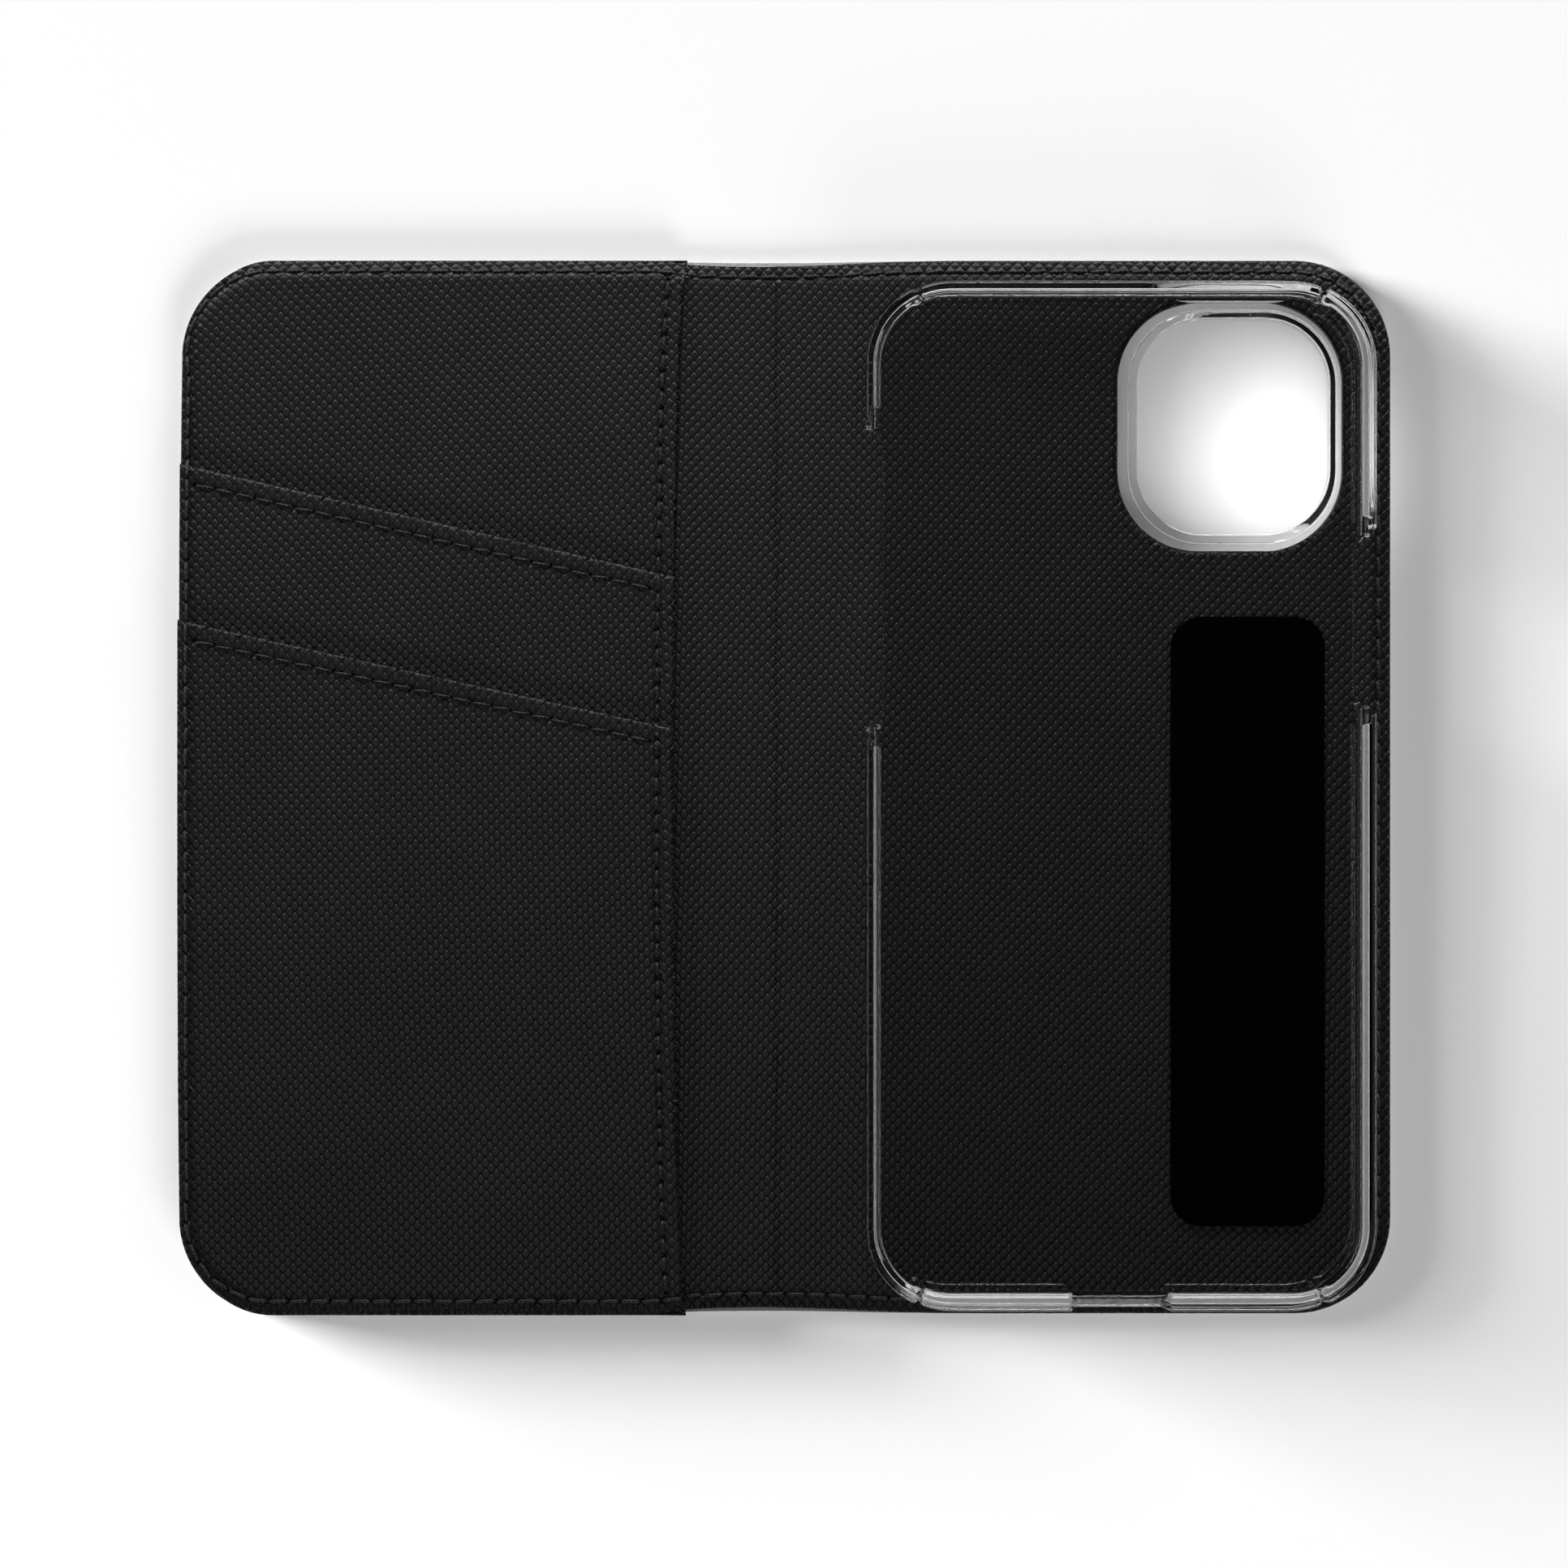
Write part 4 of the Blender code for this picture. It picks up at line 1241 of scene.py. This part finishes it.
# ----------------------------------------------------------- clear tray
def tray_piece():
    hw, hl, r = TW / 2, TLEN / 2, 12.2
    zf, zb, rim = 4.9, TL[2], TH[2]
    d_in = 3.2
    # path: counter-clockwise from the middle of the lower edge
    a, b = hw - r, hl - r
    quarter = r * math.pi / 2
    marks = np.cumsum([0, a, quarter, 2 * b, quarter, 2 * a, quarter, 2 * b, quarter, a])
    total = marks[-1]

    def at(s):
        s = s % total
        i = int(np.searchsorted(marks, s, side="right") - 1)
        t = s - marks[i]
        if i == 0:
            return (t, -hl), (0, 1)
        if i == 1:
            f = t / r
            return (a + r * math.sin(f), -b - r * math.cos(f)), (-math.sin(f), math.cos(f))
        if i == 2:
            return (hw, -b + t), (-1, 0)
        if i == 3:
            f = t / r
            return (a + r * math.cos(f), b + r * math.sin(f)), (-math.cos(f), -math.sin(f))
        if i == 4:
            return (a - t, hl), (0, -1)
        if i == 5:
            f = t / r
            return (-a - r * math.sin(f), b + r * math.cos(f)), (math.sin(f), -math.cos(f))
        if i == 6:
            return (-hw, b - t), (1, 0)
        if i == 7:
            f = t / r
            return (-a - r * math.cos(f), -b - r * math.sin(f)), (math.cos(f), math.sin(f))
        return (-a + t, -hl), (0, 1)

    phi = math.asin((29.5 - a) / r)
    reliefs = [a + r * phi, marks[4] - r * phi, marks[5] + r * phi, total - (a + r * phi)]
    power = (marks[2] + 12.6 + b, marks[2] + 38.1 + b)
    volume = (marks[6] + b - 53.7, marks[6] + b - 9.4)
    port = 6.75

    stations = list(np.arange(0, total, 1.5))
    for lo, hi in (power, volume):
        for e, sign in ((lo, -1), (hi, 1)):
            stations += [e + sign * t for t in np.arange(0, 3.0, 0.1)]
            stations += [e - sign * t for t in np.arange(0, 3.0, 0.15)]
    for e in reliefs:
        stations += list(np.arange(e - 2.2, e + 2.2, 0.11))
    for e in (port, total - port):
        stations += list(np.arange(e - 1.4, e + 1.4, 0.12))
    for k in (1, 3, 5, 7):
        stations += list(np.arange(marks[k], marks[k + 1], 0.55))
    st = np.sort(np.array(stations) % total)
    st = st[np.concatenate([[True], np.diff(st) > 0.05])]
    if total - st[-1] + st[0] < 0.05:
        st = st[:-1]

    def factors(s):
        height, lip, push, plate = 1.0, 1.0, 0.0, 0.0
        end_rail = s < reliefs[0] or s > reliefs[3] or reliefs[1] < s < reliefs[2]
        if end_rail:
            height = 0.952
        for e in reliefs:
            t = s - e
            inner = (t < 0) if e in (reliefs[0], reliefs[2]) else (t > 0)
            height -= 0.2 * math.exp(-(t / 0.32) ** 2)
            push += 0.34 * math.exp(-(t / 0.5) ** 2)
            if not inner:
                lip += 0.28 * math.exp(-((abs(t) - 1.1) / 0.7) ** 2)
            else:
                push += 0.16 * math.exp(-(t / 5.0) ** 2)
        m = min(s, total - s)
        notch = 1 - smooth((m - port + 0.7) / 1.4)
        if notch > 0:
            height = height * (1 - notch) + 0.275 * notch
            push += 0.12 * notch
        for lo, hi in (power, volume):
            if lo - 2.9 < s < hi + 2.9:
                out = max(lo - s, s - hi)
                if out > 0:
                    t = max(0.0, 1 - out / 1.2)
                    height *= math.sqrt(max(0.0, 1 - t * t))
                    lip *= float(smooth((out - 1.9) / 0.55))
                else:
                    height = 0.0
                    plate = float(smooth(-out / 2.4))
        return max(height, 0.015), lip, push, plate

    fillet = [(2.2 - 2.2 * math.cos(math.radians(t)), 5.9 - 2.2 * math.sin(math.radians(t)))
              for t in (0, 18, 36, 54, 72, 90)]

    def profile(height, lip, push, plate, end_rail, top_rail):
        top = zf + (rim - zf) * height
        lip_len = ((1.75 if top_rail else 2.7) if end_rail else 2.2) - 1.05
        full = smooth((height - 0.45) / 0.4)
        l = 1.05 + lip_len * lip * float(full)
        thick = 0.9 * min(1.0, height / 0.5)
        under = top - thick
        pts = [(d_in, zf), (2.6, zf), (1.95, zf + 0.015), (1.5, zf + 0.09), (1.22, zf + 0.28),
               (1.09, zf + 0.62), (1.06, zf + (under - zf) * 0.45), (1.05, under - 0.4), (1.1, under - 0.14),
               (1.25, under - 0.02), (max(1.3, l - 0.42), under + 0.02), (max(1.32, l - 0.12), under + 0.13),
               (l + 0.03, under + 0.4), (l - 0.05, top - 0.24), (l - 0.25, top - 0.07),
               (l - 0.55 if l > 1.5 else 0.7, top - 0.01),
               (0.62, top), (0.3, top - 0.07), (0.1, top - 0.24), (0.02, top - 0.6),
               (0.0, zf + (top - zf) * 0.6)]
        pts += fillet + [(2.7, zb), (d_in, zb)]
        pts[20] = (0.0, max(zf + (top - zf) * 0.5, 6.1))
        res = []
        n = len(pts)
        for i, (d, z) in enumerate(pts):
            if z > zf:
                z = zf + (z - zf) * (1.0 if height > 0.2 else height / 0.2) if i < 20 else z
            if i in (20, 21, 22):
                z = min(z, top)
            if 3 <= i < 20 and z < zf:
                z = zf
            if height < 0.2 and 14 <= i <= 22:
                d = d + 0.24 * (1 - height / 0.2)
            if d < 2.0:
                d = d + push * (1 - d / 2.2)
            res.append([d, z])
        if plate > 0:
            for i in range(n):
                t = i / (n - 1)
                if i <= 1:
                    q = (d_in if i == 0 else 2.95, zf)
                elif i >= n - 2:
                    q = (d_in if i == n - 1 else 2.95, zb)
                else:
                    f = (i - 2) / (n - 5)
                    ang = math.pi * (0.5 - f)
                    q = (2.78 - 0.28 * abs(math.cos(ang)) ** 0.6,
                         (zf + zb) / 2 + (zf - zb) / 2 * math.copysign(abs(math.sin(ang)) ** 0.5, math.sin(ang)))
                res[i] = [res[i][0] + (q[0] - res[i][0]) * plate, res[i][1] + (q[1] - res[i][1]) * plate]
        return res

    rows = []
    for s in st:
        (px, py), (nx, ny) = at(s)
        h, lip, push, plate = factors(s)
        end_rail = s < reliefs[0] or s > reliefs[3] or reliefs[1] < s < reliefs[2]
        rows.append([(TC[0] + px + nx * d, TC[1] + py + ny * d, z)
                     for d, z in profile(h, lip, push, plate, end_rail, reliefs[1] < s < reliefs[2])])
    n_s, n_p = len(rows), len(rows[0])
    verts = [q for row in rows for q in row]
    faces = []
    for i in range(n_s):
        j = (i + 1) % n_s
        for k in range(n_p - 1):
            faces.append((i * n_p + k, j * n_p + k, j * n_p + k + 1, i * n_p + k + 1))
    # collar round the camera opening
    hole = resample_keep(np.array(rounded_rect(*CAM_C, *CAM_TRAY, 16)), 1.2)
    prev, nxt = np.roll(hole, 1, 0), np.roll(hole, -1, 0)
    tan = nxt - prev
    tan /= np.linalg.norm(tan, axis=1)[:, None]
    outw = np.stack([tan[:, 1], -tan[:, 0]], 1)
    collar = [(1.45, zf), (1.1, zf), (0.7, zf), (0.28, zf - 0.01), (0.1, zf - 0.07), (0.0, zf - 0.22),
              (-0.02, 4.0), (0.0, 2.8), (0.01, 1.5), (0.06, 1.34), (0.3, 1.22), (0.6, 1.2), (0.9, 1.2),
              (1.12, 1.24), (1.2, 1.4), (1.2, 3.1), (1.22, 3.4), (1.28, 3.6), (1.36, 3.68), (1.45, zb)]
    k0, n_c = len(verts), len(hole)
    for (hx, hy), (ox, oy) in zip(hole, outw):
        cut = 0.1 + 0.95 * float(smooth((ox + 0.35 * oy + 0.25) / 0.9))
        for e, z in collar:
            if z < 2.9 and e < 1.15:
                z = max(z, 1.2 + (1.2 - e) * cut)
            verts.append((hx + ox * e, hy + oy * e, z))
    m = len(collar)
    for i in range(n_c):
        j = (i + 1) % n_c
        for k in range(m - 1):
            faces.append((k0 + i * m + k + 1, k0 + j * m + k + 1, k0 + j * m + k, k0 + i * m + k))
    # the plate between them: one triangulation for both faces
    ring_o = [i * n_p for i in range(n_s)]
    ring_c = [k0 + i * m for i in range(n_c)]
    v2 = [Vector(verts[i][:2]) for i in ring_o + ring_c]
    e2 = [(i, (i + 1) % n_s) for i in range(n_s)] + [(n_s + i, n_s + (i + 1) % n_c) for i in range(n_c)]
    out = delaunay_2d_cdt(v2, e2, [], 0, 1e-6, True)
    pts = np.array([tuple(v) for v in out[0]])
    origin = [ids[0] for ids in out[3]]
    outer_poly = np.array([verts[i][:2] for i in ring_o])
    hole_poly = np.array([verts[i][:2] for i in ring_c])
    t_ok = []
    for f in out[2]:
        c = pts[list(f)].mean(0)[None]
        if inside(c, outer_poly)[0] and not inside(c, hole_poly)[0]:
            t_ok.append(f)
    index_top = ring_o + ring_c
    index_low = [i + n_p - 1 for i in ring_o] + [i + m - 1 for i in ring_c]
    for f in t_ok:
        q = [pts[v] for v in f]
        cr = (q[1][0] - q[0][0]) * (q[2][1] - q[0][1]) - (q[1][1] - q[0][1]) * (q[2][0] - q[0][0])
        f = tuple(f) if cr > 0 else tuple(f)[::-1]
        faces.append(tuple(index_top[origin[v]] for v in f))
        faces.append(tuple(index_low[origin[v]] for v in f)[::-1])
    mesh = bpy.data.meshes.new("clear_tray")
    mesh.from_pydata([tuple(np.array(v) * MM) for v in verts], [], faces)
    mesh.validate()
    bm = bmesh.new()
    bm.from_mesh(mesh)
    bmesh.ops.recalc_face_normals(bm, faces=bm.faces)
    if bm.calc_volume(signed=True) < 0:
        bmesh.ops.reverse_faces(bm, faces=bm.faces)
    bm.to_mesh(mesh)
    bm.free()
    mesh.shade_smooth()
    mesh.set_sharp_from_angle(angle=math.radians(50))
    ob = bpy.data.objects.new("clear_tray", mesh)
    bpy.context.scene.collection.objects.link(ob)
    dress(ob, M_CLEAR)
    return ob


tray = tray_piece()


# ----------------------------------------------------------- adhesive pad
def pad_piece():
    lo, hi = node_box("shell_adhesive_pad")
    cx, cy = (lo[0] + hi[0]) / 2, (lo[1] + hi[1]) / 2
    outline = rounded_rect(cx, cy, hi[0] - lo[0], hi[1] - lo[1], 4.5, 12)
    roll = cut_roll(outline, 0.4, 0.25)
    ob = build_sheet("adhesive_pad", outline, lambda p: np.full(len(p), hi[2] + 0.04), 0.6, None,
                     roll=roll, spacing=4.0, unevenness=0.02, seed=51,
                     underside=lambda p: np.full(len(p), lo[2]))
    dress(ob, M_FOAM)
    return ob


pad = pad_piece()

# ----------------------------------------------------------- boards (hidden)
for name in ("back_board", "front_board", "spine_board"):
    dress(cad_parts[name], M_BOARD)

# ----------------------------------------------------------- riding
A_R, B_R = (X2 + STIFF_GAP, 0, 0), (X2 - STIFF_GAP, 0, 0)
A_L, B_L = (X1 + STIFF_GAP, 0, 0), (X1 - STIFF_GAP, 0, 0)


def m3(p):
    return tuple(v * MM for v in p)


for ob in (lining_r, skin_r, seam_r, under_r):
    m3(A_R)
    m3(B_R)
    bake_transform(ob)
for ob in (lining_l, skin_l, seam_l, under_l):
    m3(A_L)
    m3(B_L)
    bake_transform(ob)
for ob in (base, upper, lower, seam_up, seam_low, seam_hem):
    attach(ob, "front")
for ob in (tray, pad):
    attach(ob, "back")

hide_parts("lining_back", "lining_spine")
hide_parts("lining_front")
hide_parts("outer_skin_back", "outer_skin_spine")
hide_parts("outer_skin_front")
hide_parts("thread_perimeter_back", "thread_perimeter_spine_top")
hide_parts("thread_perimeter_front", "thread_perimeter_spine_bottom")
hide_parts("card_base_panel")
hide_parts("card_panel_upper")
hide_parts("card_panel_lower")
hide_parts("thread_slot_upper")
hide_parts("thread_slot_lower")
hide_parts("thread_pocket_hem")
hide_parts("phone_shell")
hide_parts("shell_adhesive_pad")


# ----------------------------------------------------------- stage
def make_floor():
    bpy.ops.mesh.primitive_plane_add(size=12.0, location=(0, 0, -0.00002))
    ob = bpy.context.active_object
    ob.name = "floor"
    mat, nt, p = new_material("floor_white")
    p.inputs["Base Color"].default_value = (0.86, 0.86, 0.86, 1)
    p.inputs["Roughness"].default_value = 0.9
    p.inputs["Specular IOR Level"].default_value = 0.0
    dress(ob, mat)
    return ob


floor = make_floor()
only_floor = bpy.data.collections.new("lit_floor")
only_floor.objects.link(floor)
all_but_floor = bpy.data.collections.new("lit_case")
all_but_floor.objects.link(floor)
all_but_floor.collection_objects[0].light_linking.link_state = "EXCLUDE"


only_tray = bpy.data.collections.new("lit_tray")
only_tray.objects.link(tray)
leather_only = bpy.data.collections.new("lit_leather")
for ob in (floor, tray):
    leather_only.objects.link(ob)
for item in leather_only.collection_objects:
    item.light_linking.link_state = "EXCLUDE"


def area_light(name, location, size, size_y, power, lit=all_but_floor):
    data = bpy.data.lights.new(name, "AREA")
    data.shape = "RECTANGLE"
    data.size, data.size_y = size, size_y
    data.energy = power
    ob = bpy.data.objects.new(name, data)
    bpy.context.scene.collection.objects.link(ob)
    ob.location = location
    ob.rotation_euler = (-Vector(location)).to_track_quat("-Z", "Y").to_euler()
    ob.light_linking.receiver_collection = lit
    return ob


# the table is lit low from the left, which gives the long soft shadow, and
# from overhead; the case itself mostly from a softbox beyond its upper edge
area_light("floor_low_left", (-5.70, 1.90, 0.72), 2.0, 0.60, 1200.0, only_floor)
area_light("floor_mid_left", (-5.70, 1.90, 1.48), 2.4, 1.08, 500.0, only_floor)
area_light("floor_overhead", (0.1, -0.1, 2.6), 3.0, 3.0, 13.0, only_floor)
area_light("floor_front", (0.9, -2.3, 1.15), 1.6, 0.9, 51.0, only_floor)
area_light("floor_right", (2.4, -0.4, 1.3), 1.0, 0.8, 8.0, only_floor)
area_light("softbox_top", (-0.02, 0.36, 0.175), 0.80, 0.11, 1.55, leather_only)
area_light("fill_left", (-0.75, -0.05, 0.80), 0.5, 0.8, 0.4)
area_light("fill_right", (0.75, -0.05, 0.80), 0.5, 0.8, 0.2)
area_light("fill_bottom", (0.0, -0.75, 0.80), 0.8, 0.4, 0.5)
area_light("overhead_soft", (-0.05, 0.02, 1.05), 0.9, 0.6, 0.8, leather_only)
# strips that draw the edges of the clear tray
area_light("tray_top", (0.05, 0.60, 0.42), 0.8, 0.11, 3.3, only_tray)
area_light("tray_bottom", (0.05, -0.60, 0.42), 0.8, 0.14, 4.4, only_tray)
area_light("tray_left", (-0.60, 0.0, 0.40), 0.9, 0.10, 1.3, only_tray)
area_light("tray_right", (0.68, 0.0, 0.40), 0.9, 0.10, 1.4, only_tray)

spot_data = bpy.data.lights.new("through_camera_hole", "SPOT")
spot_data.energy = 12.5
spot_data.spot_size = 2 * math.atan(19.0 / 600.0)
spot_data.spot_blend = 1.0
spot_data.shadow_soft_size = 0.01
spot = bpy.data.objects.new("through_camera_hole", spot_data)
bpy.context.scene.collection.objects.link(spot)
spot.location = (0.0715, 0.0465, 0.600)
spot.light_linking.receiver_collection = only_floor

world = bpy.data.worlds.new("studio")
bpy.context.scene.world = world
world.use_nodes = True
bg = world.node_tree.nodes["Background"]
bg.inputs["Color"].default_value = (0.0015, 0.0015, 0.0015, 1)
bg.inputs["Strength"].default_value = 1.0

bpy.context.scene.view_settings.view_transform = "Standard"

# camera straight above; the frame is 230.1 mm wide on the table
CAM_H = 800.0
cam_data = bpy.data.cameras.new("camera")
cam_data.sensor_width = 36.0
cam_data.lens = 36.0 * CAM_H / 230.1
cam_data.clip_start = 0.01
cam = bpy.data.objects.new("camera", cam_data)
bpy.context.scene.collection.objects.link(cam)
cam.location = (-0.06 * MM, 0.45 * MM, CAM_H * MM)
bpy.context.scene.camera = cam
